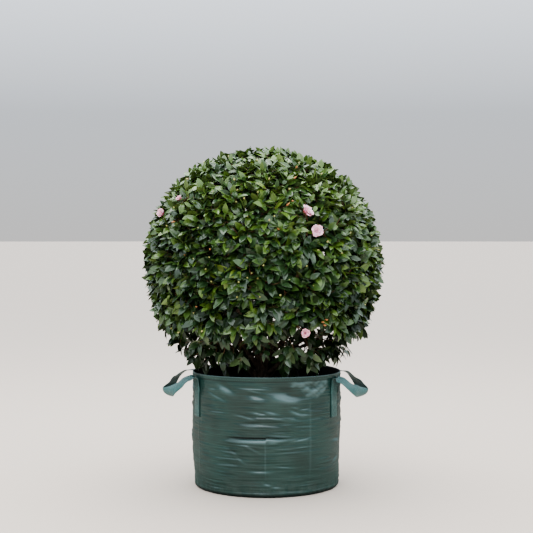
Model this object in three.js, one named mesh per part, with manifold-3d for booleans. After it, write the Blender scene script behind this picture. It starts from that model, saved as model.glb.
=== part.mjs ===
// A clipped camellia ball in a woven planter bag, as a three.js scene graph.
// Millimetres, +Z up. The origin is the middle of the bag's flat underside. The front faces -Y.

import * as THREE from "three";
import { mergeVertices } from "three/addons/utils/BufferGeometryUtils.js";
import Module from "manifold-3d";

const wasm = await Module();
wasm.setup();

// The planter bag
const BAG_RADIUS = 275; // outside, at the rim
const BAG_FOOT_RADIUS = 267; // outside, just above the rounded bottom edge
const BAG_HEIGHT = 430;
const BAG_WALL = 3;
const BAG_SIDES = 48;
const BOTTOM_ROUND = 20; // radius of the rounded bottom edge
const HEM_DEPTH = 24; // the folded band round the rim
const HEM_PROUD = 1.2;
const RIM_DIP = 5; // how far the handles pull the rim down on their two sides
const SLACK = 1.2; // how far the soft wall stands off a true circle
const SLACK_LOBES = 3;
const SLACK_TURN = 0.6; // where the first lobe lies, in radians

// The webbing handles
const STRAP_WIDTH = 48;
const STRAP_THICK = 2.4;
const STRAP_TAIL = 160; // the length of each end that is sewn down the wall
const LOOP_OUT = 95; // how far the loop hangs outside the rim
const LOOP_DROP = 78; // how far its end hangs below the rim
const LEFT_SPREAD = 20; // half the angle between a handle's two ends, in degrees
const RIGHT_SPREAD = 24;
const STRAP_OFF_WALL = 0.75; // clear of the wall's own facets
const LOOP_TILT = new THREE.Vector2(0.72, 0.69); // outwards and up, where the loop's end stands on edge
const STRAP_STEPS = 30;
// An arm of the loop: how far out and how far towards the handle's middle, as shares, and the rise
const LOOP_ARM = [
  { out: 0.1, inwards: 0, rise: 7 },
  { out: 0.34, inwards: 0.02, rise: -2 },
  { out: 0.66, inwards: 0.14, rise: -0.45 * LOOP_DROP },
  { out: 0.9, inwards: 0.5, rise: -0.85 * LOOP_DROP },
];

// The potting mix
const MIX_EDGE = 360; // height of the mix where it meets the bag
const MIX_TOP = 370; // height of the flat middle that the trunk stands on
const MIX_FLAT_RADIUS = 90;

// The trunk and boughs
const TRUNK_X = -17; // the plant stands a little left of the bag's middle
const TRUNK_SINK = 25; // how far the trunk is drawn below the mix before it is cut flat
const TRUNK_FORK = 462;
const TRUNK_LEAN = 4; // how far the fork lies to the right of the foot
const TRUNK_RADIUS = 23;
const TRUNK_TAPER = 0.86;
const FLARE_RADIUS = 40;
const FLARE_HEIGHT = 20; // over which the flare falls to about a third
const ROOT_LOBES = 5;
const ROOT_LOBE_SHARE = 0.16;
const TRUNK_SHAPE = { sides: 15, steps: 8 };
const LEADER = { radii: [15, 8.5], sides: 8, steps: 6 };
const LEADER_SHORT = 26; // how far the centre bough stops under the hollow's roof
const MAIN_BOUGH = { count: 6, radii: [11.5, 6], sides: 7, steps: 6 };
const LOW_BOUGH = { count: 6, radii: [9, 6.6], sides: 6, steps: 4, reach: 128, height: 497 };
const CLEAR = 0.3; // the gap between pieces that meet
const SOCKET = 10; // how far a main bough reaches into the foliage that it carries

// The clipped crown
const CROWN = new THREE.Vector3(-12, 0, 833);
const CROWN_RADIUS = 440; // to the furthest leaf tips
const CORE_RADIUS = 362; // the dense inside of the ball that the sprays stand out of
const CORE_LUMP = 9;
const HOLLOW_RADIUS = 215; // the bare hollow under the ball, where the boughs rise
const HOLLOW_HEIGHT = 95;
const CORE_FOOT = 592;
const CORE_FOOT_ROUND = 42; // over which the ball's underside flattens out
const SKIRT_TOP = 585; // the ball's foliage is above this height and the skirt's below it
const SKIRT_FOOT = 395; // no leaf hangs lower, into the mix
const SKIRT_STEM = { out: 72, up: 34 };
const SKIRT_BARE = 95; // no twig tip of the skirt lies nearer to the trunk's axis
const SPACE_MARGIN = 1.5;
const TIP_MARGIN = 10; // how far inside its mass's space a twig's tip stays
const FINEST = 0.25; // how closely a joined mass keeps its shape where short edges are closed up
const LIMB_SHELL = { count: 20, radius: 210, spread: 0.04 };
const BRANCH_SHELL = { count: 66, radius: 322, spread: 0.04 };
const TWIG_SHELL = { count: 130, radius: 393, spread: 0.03 };
const SKIRT_BRANCH_SHELL = { count: 120, radius: 318, spread: 0.14 };
const SKIRT_TWIG_SHELL = { count: 360, radius: 350, spread: 0.2 };
const TWIG_SIDES = 3;
const BALL_RADII = [[8.5, 7], [6, 5], [4.6, 4], [3.6, 2.8]]; // of the stem, limbs, branches and twigs
const SKIRT_RADII = [[6.6, 6.2], [3.6, 3.4], [2.3, 2.1]]; // of the stem, branches and twigs
const LEAVES_PER_TWIG = 3;
const BALL_LEAF = { length: 102, droop: 0.2 };
const SKIRT_LEAF = { length: 90, droop: 0.5 };
const LEAF_SPREAD = [52, 74]; // from the twig's direction, in degrees
const LEAF_WIDEST = 0.44; // how far along the leaf it is widest
const LEAF_WIDTH_SHARE = 0.47;
const LEAF_THICK_SHARE = 0.03;
const LEAF_FOLD_SHARE = 0.07; // how deep the midrib lies under the leaf's edges
const LEAF_TRIES = 10;
const LEAF_SHORTEN = 0.95; // each try's leaf against the one before
const LEAF_SWING = 0.5; // how much further round its twig each try may turn a leaf, in radians
const SHOOT_STEP = 14; // from one twig's root to the next, down their parent
const LEAF_STEP = 5.5; // from one leaf's root to the next, down the twig
const LEAF_SINK = 1; // how far past its twig's middle line a leaf's root lies

// Open blooms: where each one sits on the ball, seen from its middle, in degrees, and its width.
// Azimuth 0 is the front and 90 the right.
const BLOOMS = [
  { azimuth: 25, elevation: 26, width: 52 },
  { azimuth: 28, elevation: 14, width: 56 },
  { azimuth: -74, elevation: 25, width: 44 },
  { azimuth: 118, elevation: 31, width: 52 },
  { azimuth: 171, elevation: 8, width: 54 },
  { azimuth: 232, elevation: 36, width: 50 },
];
const SKIRT_BLOOM = { azimuth: 27, elevation: -37, width: 42 };
const BLOOM_SIDES = 8;
const BLOOM_DEPTH_SHARE = 0.5;
const BLOOM_SUNK_SHARE = 0.3; // how much of its width a bloom's middle lies inside the crown's outline
const BLOOM_RIPPLE = 0.12;
const BLOOM_STALK = 2;

const UP = new THREE.Vector3(0, 0, 1);
const GOLDEN_ANGLE = Math.PI * (3 - Math.sqrt(5));
const radians = THREE.MathUtils.degToRad;
const lerp = THREE.MathUtils.lerp;

// A seeded stream of numbers from 0 to 1.
function randomStream(seed) {
  let state = seed >>> 0;
  return () => {
    state = (state + 0x6d2b79f5) >>> 0;
    let t = Math.imul(state ^ (state >>> 15), 1 | state);
    t = (t + Math.imul(t ^ (t >>> 7), 61 | t)) ^ t;
    return ((t ^ (t >>> 14)) >>> 0) / 4294967296;
  };
}

// A closed three.js geometry as a solid.
function solidOf(geometry) {
  const bare = geometry.index ? geometry.toNonIndexed() : geometry.clone();
  const shape = new THREE.BufferGeometry();
  shape.setAttribute("position", bare.getAttribute("position"));
  const merged = mergeVertices(shape, 1e-3);
  return new wasm.Manifold(
    new wasm.Mesh({
      numProp: 3,
      vertProperties: merged.attributes.position.array,
      triVerts: new Uint32Array(merged.index.array),
    }),
  );
}

// A solid as a three.js geometry.
function geometryOf(solid) {
  const { vertProperties, triVerts } = solid.getMesh();
  const geometry = new THREE.BufferGeometry();
  geometry.setAttribute("position", new THREE.BufferAttribute(vertProperties, 3));
  geometry.setIndex(new THREE.BufferAttribute(triVerts, 1));
  geometry.computeVertexNormals();
  return geometry;
}

// The largest of a solid's separate bodies, without the scraps that a cut leaves.
function largest(solid) {
  return solid.decompose().reduce((best, body) => (body.volume() > best.volume() ? body : best));
}

// Moves each vertex of a geometry by a function of its place.
function reshape(geometry, move) {
  const places = geometry.getAttribute("position");
  const v = new THREE.Vector3();
  for (let i = 0; i < places.count; i++) {
    v.fromBufferAttribute(places, i);
    move(v);
    places.setXYZ(i, v.x, v.y, v.z);
  }
  return geometry;
}

// A closed tapering limb: a cylinder whose rings are carried onto a curve, flat at both ends.
// It can be grown by a clearance, all round and at its ends, to cut its neighbours with.
function limb(curve, radiusAt, { sides, steps }, grow) {
  const frames = curve.computeFrenetFrames(steps);
  return reshape(new THREE.CylinderGeometry(1, 1, 1, sides, steps), (v) => {
    const step = Math.round((v.y + 0.5) * steps);
    const t = step / steps;
    const radius = radiusAt(t, Math.atan2(v.z, v.x)) + grow;
    const place = curve.getPointAt(t);
    if (step === 0) place.addScaledVector(frames.tangents[step], -grow);
    if (step === steps) place.addScaledVector(frames.tangents[step], grow);
    place.addScaledVector(frames.normals[step], -v.x * radius);
    place.addScaledVector(frames.binormals[step], v.z * radius);
    v.copy(place);
  });
}

// The outside of the bag's wall at one height, before it goes slack.
function wallRadius(height) {
  const share = (height - BOTTOM_ROUND) / (BAG_HEIGHT - BOTTOM_ROUND);
  return lerp(BAG_FOOT_RADIUS, BAG_RADIUS, THREE.MathUtils.clamp(share, 0, 1));
}

// Lets a point of the bag go slack: a soft three-lobed plan, and a rim that dips at the handles.
function slacken(v) {
  const angle = Math.atan2(v.y, v.x);
  const share = THREE.MathUtils.clamp(v.z / BAG_HEIGHT, 0, 1);
  const reach = Math.hypot(v.x, v.y);
  if (reach > 0) {
    const off = SLACK * share * (reach / BAG_RADIUS) * Math.sin(SLACK_LOBES * angle + SLACK_TURN);
    v.x += off * Math.cos(angle);
    v.y += off * Math.sin(angle);
  }
  v.z -= RIM_DIP * share * share * share * Math.cos(angle) ** 2;
}

function turned(profile) {
  return new THREE.LatheGeometry(profile, BAG_SIDES).rotateX(Math.PI / 2);
}

// The bag: flat underside, rounded bottom edge, a straight soft wall and a folded hem.
function plantingBag() {
  const profile = [new THREE.Vector2(0, 0)];
  const corner = (radius, steps, outwards) => {
    for (let i = 0; i <= steps; i++) {
      const a = ((outwards ? i : steps - i) / steps) * (Math.PI / 2);
      profile.push(
        new THREE.Vector2(
          BAG_FOOT_RADIUS - BOTTOM_ROUND + radius * Math.sin(a),
          BOTTOM_ROUND - radius * Math.cos(a),
        ),
      );
    }
  };
  corner(BOTTOM_ROUND, 3, true);
  const hemFoot = BAG_HEIGHT - HEM_DEPTH;
  profile.push(
    new THREE.Vector2(wallRadius(BAG_HEIGHT / 2), BAG_HEIGHT / 2),
    new THREE.Vector2(wallRadius(hemFoot), hemFoot),
    new THREE.Vector2(wallRadius(hemFoot) + HEM_PROUD, hemFoot + HEM_PROUD),
    new THREE.Vector2(BAG_RADIUS + HEM_PROUD, BAG_HEIGHT),
    new THREE.Vector2(BAG_RADIUS - BAG_WALL, BAG_HEIGHT),
    new THREE.Vector2(wallRadius(BAG_HEIGHT / 2) - BAG_WALL, BAG_HEIGHT / 2),
  );
  corner(BOTTOM_ROUND - BAG_WALL, 2, false);
  profile.push(new THREE.Vector2(0, BAG_WALL));
  return reshape(turned(profile), slacken);
}

// The potting mix that fills the bag up to a hand's width under the rim.
function pottingMix() {
  const inside = (height) => wallRadius(height) - BAG_WALL - CLEAR;
  const foot = BAG_WALL + CLEAR;
  const profile = [
    new THREE.Vector2(0, foot),
    new THREE.Vector2(BAG_FOOT_RADIUS - BOTTOM_ROUND - CLEAR, foot),
    new THREE.Vector2(inside(BOTTOM_ROUND) - CLEAR, BOTTOM_ROUND + CLEAR),
    new THREE.Vector2(inside(BAG_HEIGHT / 2), BAG_HEIGHT / 2),
    new THREE.Vector2(inside(MIX_EDGE), MIX_EDGE),
    new THREE.Vector2(MIX_FLAT_RADIUS, MIX_TOP),
    new THREE.Vector2(0, MIX_TOP),
  ];
  return reshape(turned(profile), (v) => {
    const height = v.z;
    slacken(v);
    if (height >= MIX_TOP) v.z = height;
  });
}

// A point just outside the wall, under the middle of a strap.
function besideWall(angle, height, clearance) {
  const hemFoot = BAG_HEIGHT - HEM_DEPTH;
  const onHem = THREE.MathUtils.smoothstep(height, hemFoot - 10 * HEM_PROUD, hemFoot - 2 * HEM_PROUD);
  const radius = wallRadius(height) + HEM_PROUD * onHem + clearance;
  const v = new THREE.Vector3(radius * Math.cos(angle), radius * Math.sin(angle), height);
  slacken(v);
  return v;
}

// A handle: one strap, sewn up the wall at both ends, that flops out and down in a loop.
// Half way round each arm it makes a quarter turn, so the loop's end stands on edge.
function handle(side, spread) {
  const front = side < 0 ? Math.PI + radians(spread) : -radians(spread);
  const clearance = STRAP_OFF_WALL + STRAP_THICK / 2;
  const arm = (angle, { out, inwards, rise }) => {
    const v = besideWall(angle, BAG_HEIGHT, clearance);
    v.x += side * out * LOOP_OUT;
    v.y *= 1 - inwards;
    v.z += rise;
    return v;
  };
  const half = (angle) => [
    besideWall(angle, BAG_HEIGHT - STRAP_TAIL, clearance),
    besideWall(angle, BAG_HEIGHT - STRAP_TAIL / 2, clearance),
    besideWall(angle, BAG_HEIGHT - HEM_DEPTH, clearance),
    besideWall(angle, BAG_HEIGHT - HEM_DEPTH / 4, clearance),
    ...LOOP_ARM.map((place) => arm(angle, place)),
  ];
  const loopEnd = arm(side < 0 ? Math.PI : 0, { out: 1, inwards: 0, rise: -LOOP_DROP });
  const route = [...half(front), loopEnd, ...half(-front).reverse()];
  const line = new THREE.CatmullRomCurve3(route, false, "centripetal");
  const length = line.getLength();
  const tailShare = (STRAP_TAIL + STRAP_THICK) / length;
  const edgeUp = new THREE.Vector3(LOOP_TILT.x * side, 0, LOOP_TILT.y);
  return reshape(new THREE.BoxGeometry(STRAP_WIDTH, STRAP_THICK, 1, 2, 1, STRAP_STEPS), (v) => {
    const t = v.z + 0.5;
    const inner = t < 0.5 ? 1 : -1; // which way along Y the handle's middle lies
    const place = line.getPointAt(t);
    const along = line.getTangentAt(t);
    const reach = (Math.min(t, 1 - t) - tailShare) / (0.5 - tailShare);
    if (reach <= 0) {
      // Where the strap lies on the wall, it wraps round with it.
      const height = BAG_HEIGHT - STRAP_TAIL + Math.min(t, 1 - t) * length;
      const angle = Math.atan2(place.y, place.x) + (side * inner * v.x) / BAG_RADIUS;
      v.copy(besideWall(angle, height, clearance - side * v.y));
      return;
    }
    const turn = (1 - (1 - reach) ** 2) * (Math.PI / 2);
    const flat = new THREE.Vector3(place.y, -place.x, 0).normalize().multiplyScalar(-side * inner);
    const across = flat.multiplyScalar(Math.cos(turn)).addScaledVector(edgeUp, Math.sin(turn));
    across.addScaledVector(along, -across.dot(along)).normalize();
    const through = new THREE.Vector3().crossVectors(along, across);
    place.addScaledVector(across, v.x);
    place.addScaledVector(through, v.y);
    v.copy(place);
  });
}

// A wavering line from one point to another that leaves along `start` and arrives along `end`.
function wanderingCurve(from, start, to, end, pull) {
  const reach = from.distanceTo(to) * pull;
  return new THREE.CubicBezierCurve3(
    from,
    from.clone().addScaledVector(start, reach),
    to.clone().addScaledVector(end, -reach),
    to,
  );
}

function trunkCurve() {
  return new THREE.QuadraticBezierCurve3(
    new THREE.Vector3(TRUNK_X - TRUNK_LEAN / 2, -TRUNK_LEAN / 2, MIX_TOP - TRUNK_SINK),
    new THREE.Vector3(TRUNK_X - TRUNK_LEAN / 2, 0, (MIX_TOP + TRUNK_FORK) / 2),
    new THREE.Vector3(TRUNK_X + TRUNK_LEAN / 2, 0, TRUNK_FORK),
  );
}

// The trunk: five root buttresses that melt into a round stem, cut flat where it meets the mix.
function trunkSolid(grow) {
  const radiusAt = (t, angle) => {
    const height = Math.max(0, t * (TRUNK_FORK - MIX_TOP + TRUNK_SINK) - TRUNK_SINK);
    const flare = Math.exp(-height / FLARE_HEIGHT);
    const stem = TRUNK_RADIUS * lerp(1, TRUNK_TAPER, t) + (FLARE_RADIUS - TRUNK_RADIUS) * flare;
    return stem * (1 + ROOT_LOBE_SHARE * flare * Math.cos(ROOT_LOBES * angle));
  };
  const whole = solidOf(limb(trunkCurve(), radiusAt, TRUNK_SHAPE, grow));
  return whole.trimByPlane([0, 0, 1], MIX_TOP + CLEAR - grow);
}

const heading = (azimuth) => new THREE.Vector3(Math.sin(azimuth), -Math.cos(azimuth), 0);

// The roof of the hollow under the ball, straight out from the crown's middle line.
function hollowPoint(azimuth, share) {
  const v = heading(azimuth).multiplyScalar(share * HOLLOW_RADIUS);
  v.z = HOLLOW_HEIGHT * Math.sqrt(1 - share * share);
  return v.add(new THREE.Vector3(CROWN.x, CROWN.y, CORE_FOOT));
}

// A direction that leans out by `slope` for each unit that it rises.
function leaning(azimuth, slope) {
  return heading(azimuth).multiplyScalar(slope).add(UP).normalize();
}

// Every bough's curve, with its radius at both ends. They leave the trunk in a spiral.
function boughPlans() {
  const random = randomStream(11);
  const stem = trunkCurve();
  const leaderTop = hollowPoint(0, 0);
  leaderTop.z -= LEADER_SHORT;
  const [right, left] = [leaning(Math.PI / 2, 0.1), leaning(-Math.PI / 2, 0.12)];
  const leader = wanderingCurve(stem.getPoint(0.8), right, leaderTop, left, 0.34);
  const plans = [{ name: "centre_bough", curve: leader, ...LEADER }];
  for (let i = 0; i < MAIN_BOUGH.count; i++) {
    const azimuth = ((i + 0.5 + 0.24 * (random() - 0.5)) / MAIN_BOUGH.count) * 2 * Math.PI;
    const from = stem.getPoint(0.62 + 0.2 * (i % 2));
    const arrive = leaning(azimuth, 0.75);
    const to = hollowPoint(azimuth, 0.74 + 0.06 * random()).addScaledVector(arrive, SOCKET);
    const curve = wanderingCurve(from, leaning(azimuth, 0.85), to, arrive, 0.3);
    plans.push({ name: `main_bough_${i + 1}`, curve, ...MAIN_BOUGH });
  }
  for (let i = 0; i < LOW_BOUGH.count; i++) {
    const azimuth = ((i + 0.1 * (random() - 0.5)) / LOW_BOUGH.count) * 2 * Math.PI;
    const from = stem.getPoint(0.3 + 0.16 * (i % 2));
    const to = from.clone().addScaledVector(heading(azimuth), LOW_BOUGH.reach * (1 + 0.1 * random()));
    to.z = LOW_BOUGH.height + 16 * random();
    const curve = wanderingCurve(from, leaning(azimuth, 2.8), to, leaning(azimuth, 1.6), 0.36);
    plans.push({ name: `low_bough_${i + 1}`, azimuth, curve, ...LOW_BOUGH });
  }
  return plans;
}

function boughSolid(plan, grow) {
  const radiusAt = (t) => lerp(plan.radii[0], plan.radii[1], Math.sqrt(t));
  return solidOf(limb(plan.curve, radiusAt, plan, grow));
}

// The trunk and boughs, each bough cut clear of the trunk and of the boughs before it.
function limbs() {
  const made = [{ name: "trunk", solid: trunkSolid(0) }];
  const plans = boughPlans();
  let taken = trunkSolid(CLEAR);
  for (const plan of plans) {
    made.push({ name: plan.name, solid: largest(boughSolid(plan, 0).subtract(taken)) });
    taken = taken.add(boughSolid(plan, CLEAR));
  }
  return { made, plans, taken };
}

// Even directions all round the crown's middle, shaken a little by a seed.
function evenPoints(shell, seed) {
  const random = randomStream(seed);
  const points = [];
  for (let i = 0; i < shell.count; i++) {
    const z = 1 - (2 * i + 1) / shell.count;
    const angle = i * GOLDEN_ANGLE + 0.16 * (random() - 0.5);
    const level = Math.sqrt(1 - z * z);
    const radius = shell.radius * (1 + shell.spread * (random() - 0.5));
    points.push(
      new THREE.Vector3(level * Math.cos(angle), level * Math.sin(angle), z)
        .multiplyScalar(radius)
        .add(CROWN),
    );
  }
  return points;
}

// The shoot whose tip is nearest to a point.
function nearest(point, shoots) {
  const reach = (shoot) => shoot.point.distanceToSquared(point);
  return shoots.reduce((best, shoot) => (reach(shoot) < reach(best) ? shoot : best));
}

// Two directions square to a third and to each other.
function squareTo(along) {
  const e1 = new THREE.Vector3().crossVectors(along, UP).normalize();
  return [e1, new THREE.Vector3().crossVectors(e1, along)];
}

// The direction that lies `turn` radians round a twig or shoot.
function roundAbout(along, turn) {
  const [e1, e2] = squareTo(along);
  return e1.multiplyScalar(Math.sin(turn)).addScaledVector(e2, Math.cos(turn));
}

// A straight twig with three flat sides, thinner at its tip. It starts on its parent's middle line.
// Its first side faces the direction that lies `roll` radians round it.
function twig(from, to, rootRadius, tipRadius, roll = 0) {
  const along = to.clone().sub(from).normalize();
  const length = from.distanceTo(to);
  const shape = new THREE.CylinderGeometry(
    tipRadius, rootRadius, length, TWIG_SIDES, 1, false, roll - Math.PI / TWIG_SIDES);
  const [e1, e2] = squareTo(along);
  const turn = new THREE.Matrix4().makeBasis(e1, along, e2);
  return shape.applyMatrix4(turn.setPosition(from.clone().add(to).multiplyScalar(0.5)));
}

// A leaf of eight faces: a diamond with its midrib lower than its two sides, pulled out to a tip.
function leaf(root, along, face, length) {
  const across = new THREE.Vector3().crossVectors(face, along).normalize();
  const normal = new THREE.Vector3().crossVectors(along, across);
  return reshape(new THREE.SphereGeometry(1, 4, 2), (v) => {
    const [end, pole, side] = [v.x, v.y, v.z].map(Math.round);
    const reach = LEAF_WIDEST + end * (end > 0 ? 1 - LEAF_WIDEST : LEAF_WIDEST);
    v.copy(root);
    v.addScaledVector(along, reach * length);
    v.addScaledVector(across, -side * LEAF_WIDTH_SHARE * 0.5 * length);
    v.addScaledVector(normal, (Math.abs(side) * LEAF_FOLD_SHARE + pole * LEAF_THICK_SHARE * 0.5) * length);
  });
}

// A full bloom as a low dome of petals that faces away from the ball.
function bloom(centre, face, width) {
  const turn = new THREE.Quaternion().setFromUnitVectors(new THREE.Vector3(0, 1, 0), face);
  return reshape(new THREE.SphereGeometry(1, BLOOM_SIDES, 4), (v) => {
    const petals = (BLOOM_SIDES / 2) * Math.atan2(v.z, v.x);
    const ripple = 1 + BLOOM_RIPPLE * Math.cos(petals) * Math.hypot(v.x, v.z);
    v.set(v.x * ripple, v.y * BLOOM_DEPTH_SHARE, v.z * ripple);
    v.multiplyScalar(width / 2).applyQuaternion(turn).add(centre);
  });
}

function pointsOf(geometry) {
  const places = geometry.getAttribute("position");
  const pointAt = (_, i) => new THREE.Vector3().fromBufferAttribute(places, i);
  return Array.from({ length: places.count }, pointAt);
}

function shootTo(from, point, roll) {
  return { point, along: point.clone().sub(from).normalize(), roll, twigs: 0 };
}

// The twigs of one mass: each point of each shell joins the nearest shoot of the shells before it.
// Twigs that the core would hide are left out, and so is any that leaves the space or touches a limb.
function growTwigs({ stem, radii, shells, core }, random, fits) {
  const solids = [solidOf(twig(stem[0], stem[1], ...radii[0]))];
  let parents = [shootTo(...stem, 0)];
  let tips = [];
  shells.forEach((points, level) => {
    const last = level === shells.length - 1;
    tips = [];
    for (const point of points) {
      const parent = nearest(point, parents);
      const from = parent.point.clone().addScaledVector(parent.along, -SHOOT_STEP * (parent.twigs % 4));
      const roll = random() * 2 * Math.PI;
      const shape = twig(from, point, ...radii[level + 1], roll);
      const shows = last || !core;
      if (shows && !fits(shape)) continue;
      if (shows) solids.push(solidOf(shape));
      parent.twigs += 1;
      tips.push(shootTo(from, point, roll));
    }
    parents = parents.concat(tips);
  });
  return { solids, tips };
}

// One leaf near a twig's tip, on one of the twig's sides. Each try turns, tilts and shortens it anew.
function leafTry(tip, side, attempt, leafRule, random) {
  const root = tip.point.clone().addScaledVector(tip.along, -LEAF_STEP * (side + 0.6));
  const around = tip.roll + (side / TWIG_SIDES) * 2 * Math.PI + attempt * LEAF_SWING * (random() - 0.5);
  const spread = radians(lerp(...LEAF_SPREAD, random()));
  const along = tip.along.clone().multiplyScalar(Math.cos(spread));
  along.addScaledVector(roundAbout(tip.along, around), Math.sin(spread));
  along.addScaledVector(UP, -leafRule.droop * lerp(0.6, 1.4, random())).normalize();
  const length = leafRule.length * lerp(0.88, 1.12, random()) * LEAF_SHORTEN ** attempt;
  const outwards = tip.point.clone().sub(CROWN).normalize();
  const middle = root.clone().addScaledVector(along, length / 2);
  root.addScaledVector(along, -LEAF_SINK);
  return { geometry: leaf(root, along, outwards, length), middle, length };
}

// The leaves of one mass. A leaf that leaves the space, touches a limb or the core, or crosses
// another twig's leaf is tried again further round, and skipped in the end.
function growLeaves(tips, { leafRule, core }, random, fits) {
  const grown = [];
  for (const tip of tips) {
    const own = [];
    for (let side = 0; side < LEAVES_PER_TWIG; side++) {
      for (let attempt = 0; attempt < LEAF_TRIES; attempt++) {
        const next = leafTry(tip, side, attempt, leafRule, random);
        if (!fits(next.geometry)) continue;
        next.solid = solidOf(next.geometry);
        if (core && !core.intersect(next.solid).isEmpty()) continue;
        const near = ({ middle, length }) => middle.distanceTo(next.middle) < (length + next.length) / 2;
        if (grown.filter(near).some(({ solid }) => !solid.intersect(next.solid).isEmpty())) continue;
        own.push(next);
        break;
      }
    }
    grown.push(...own);
  }
  return grown.map((leaf) => leaf.solid);
}

// A bloom on a short stalk from the nearest twig.
function growBloom({ azimuth, elevation, width }, tips) {
  const face = heading(radians(azimuth)).multiplyScalar(Math.cos(radians(elevation)));
  face.addScaledVector(UP, Math.sin(radians(elevation)));
  const centre = CROWN.clone().addScaledVector(face, CROWN_RADIUS - BLOOM_SUNK_SHARE * width);
  const stalk = twig(nearest(centre, tips).point, centre, BLOOM_STALK, BLOOM_STALK);
  return [solidOf(stalk), solidOf(bloom(centre, face, width))];
}

// One mass of foliage, joined into one solid and cut clear of the limbs.
function growMass(mass) {
  const { space, taken, blooms, core, seed } = mass;
  const random = randomStream(seed);
  const fits = (geometry) => pointsOf(geometry).every(space) && solidOf(geometry).intersect(taken).isEmpty();
  const { solids, tips } = growTwigs(mass, random, fits);
  if (core) solids.push(core);
  solids.push(...growLeaves(tips, mass, random, fits));
  for (const open of blooms) solids.push(...growBloom(open, tips));
  return largest(wasm.Manifold.union(solids).simplify(FINEST).subtract(taken));
}

// The dense inside of the ball: a lumpy ball with a flat foot, hollow underneath.
function coreSolid() {
  const ball = reshape(new THREE.IcosahedronGeometry(CORE_RADIUS, 3), (v) => {
    const n = v.clone().normalize();
    const lump = Math.sin(5 * n.x + 1.3) + Math.sin(6 * n.y - 0.4) + Math.sin(5 * n.z + 2.1);
    v.multiplyScalar(1 + (CORE_LUMP / CORE_RADIUS) * (lump / 3)).add(CROWN);
    const low = CORE_FOOT + CORE_FOOT_ROUND;
    if (v.z < low) v.z = low - CORE_FOOT_ROUND * (1 - Math.exp((v.z - low) / CORE_FOOT_ROUND));
  });
  const hollow = new THREE.SphereGeometry(1, 14, 8).rotateX(Math.PI / 2);
  hollow.scale(HOLLOW_RADIUS, HOLLOW_RADIUS, HOLLOW_HEIGHT).translate(CROWN.x, CROWN.y, CORE_FOOT);
  return solidOf(ball).subtract(solidOf(hollow));
}

const inBall = (v) => v.distanceTo(CROWN) <= CROWN_RADIUS;

// Where a mass's stem starts: just clear of its bough's tip.
function stemFoot(plan) {
  return plan.curve.getPoint(1).addScaledVector(plan.curve.getTangent(1), CLEAR);
}

// The ball of foliage, with sockets for the boughs that carry it.
function ballFoliage(plans, taken) {
  const leader = plans.find((plan) => plan.name === "centre_bough");
  const shells = [LIMB_SHELL, BRANCH_SHELL, TWIG_SHELL].map((shell, level) =>
    evenPoints(shell, 20 + level).filter((v) => v.z > SKIRT_TOP + 2 * TIP_MARGIN),
  );
  return growMass({
    stem: [stemFoot(leader), CROWN.clone()],
    radii: BALL_RADII,
    shells,
    space: (v) => inBall(v) && v.z >= SKIRT_TOP + SPACE_MARGIN,
    taken,
    leafRule: BALL_LEAF,
    blooms: BLOOMS,
    core: coreSolid(),
    seed: 31,
  });
}

// One part of the loose skirt under the ball: the sprays in a sixth of the turn, hanging and open.
function skirtFoliage(plan, index, taken) {
  const axis = new THREE.Vector3(TRUNK_X, 0, 0);
  const half = Math.PI / LOW_BOUGH.count;
  const walls = [
    new THREE.Vector3().crossVectors(UP, heading(plan.azimuth + half)),
    new THREE.Vector3().crossVectors(heading(plan.azimuth - half), UP),
  ];
  const inSector = (v, margin) => walls.every((wall) => v.clone().sub(axis).dot(wall) <= -margin);
  const inHeight = (v) => v.z > SKIRT_FOOT && v.z <= SKIRT_TOP - SPACE_MARGIN;
  const isBare = (v) => Math.hypot(v.x - axis.x, v.y - axis.y) < SKIRT_BARE;
  const isTip = (v) => inSector(v, TIP_MARGIN) && v.z < SKIRT_TOP - TIP_MARGIN && !isBare(v);
  const onShell = (shell, seed) => evenPoints(shell, seed).filter(isTip);
  const foot = stemFoot(plan);
  const head = foot.clone().addScaledVector(heading(plan.azimuth), SKIRT_STEM.out);
  head.z += SKIRT_STEM.up;
  return growMass({
    stem: [foot, head],
    radii: SKIRT_RADII,
    shells: [onShell(SKIRT_BRANCH_SHELL, 21), onShell(SKIRT_TWIG_SHELL, 22)],
    space: (v) => inBall(v) && inSector(v, SPACE_MARGIN) && inHeight(v),
    taken,
    leafRule: SKIRT_LEAF,
    blooms: index === 0 ? [SKIRT_BLOOM] : [],
    core: null,
    seed: 50 + index,
  });
}

const webbing = { color: 0x2f6f66, roughness: 0.6 };
const bark = { color: 0x6b5a45, roughness: 0.9 };
const foliage = { color: 0x2e5a22, roughness: 0.35 };

const camellia = new THREE.Group();

function add(name, geometry, look, group = camellia) {
  const mesh = new THREE.Mesh(geometry, new THREE.MeshStandardMaterial({ metalness: 0, ...look }));
  mesh.name = name;
  group.add(mesh);
}

const bagGroup = new THREE.Group();
add("bag", plantingBag(), { color: 0x1f4a42, roughness: 0.4 }, bagGroup);
add("handle_left", handle(-1, LEFT_SPREAD), webbing, bagGroup);
add("handle_right", handle(1, RIGHT_SPREAD), webbing, bagGroup);
add("potting_mix", pottingMix(), { color: 0x2b211a, roughness: 1 }, bagGroup);
camellia.add(bagGroup);

const { made, plans, taken } = limbs();
for (const { name, solid } of made) add(name, geometryOf(solid), bark);

add("ball_foliage", geometryOf(ballFoliage(plans, taken)), foliage);
plans
  .filter((plan) => plan.name.startsWith("low_bough"))
  .forEach((plan, i) => add(`skirt_foliage_${i + 1}`, geometryOf(skirtFoliage(plan, i, taken)), foliage));

export default camellia;
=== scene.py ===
# %% [markdown]
# A clipped camellia ball in a woven planter bag.
#
# A nursery plant has three kinds of surface: thousands of small glossy leaves, a soft plastic bag that
# creases as it is handled, and a little bark and soil that show only in the gaps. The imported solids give
# the sizes. This lesson dresses them, kind by kind, with meshes worked out as whole numpy arrays.

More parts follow.
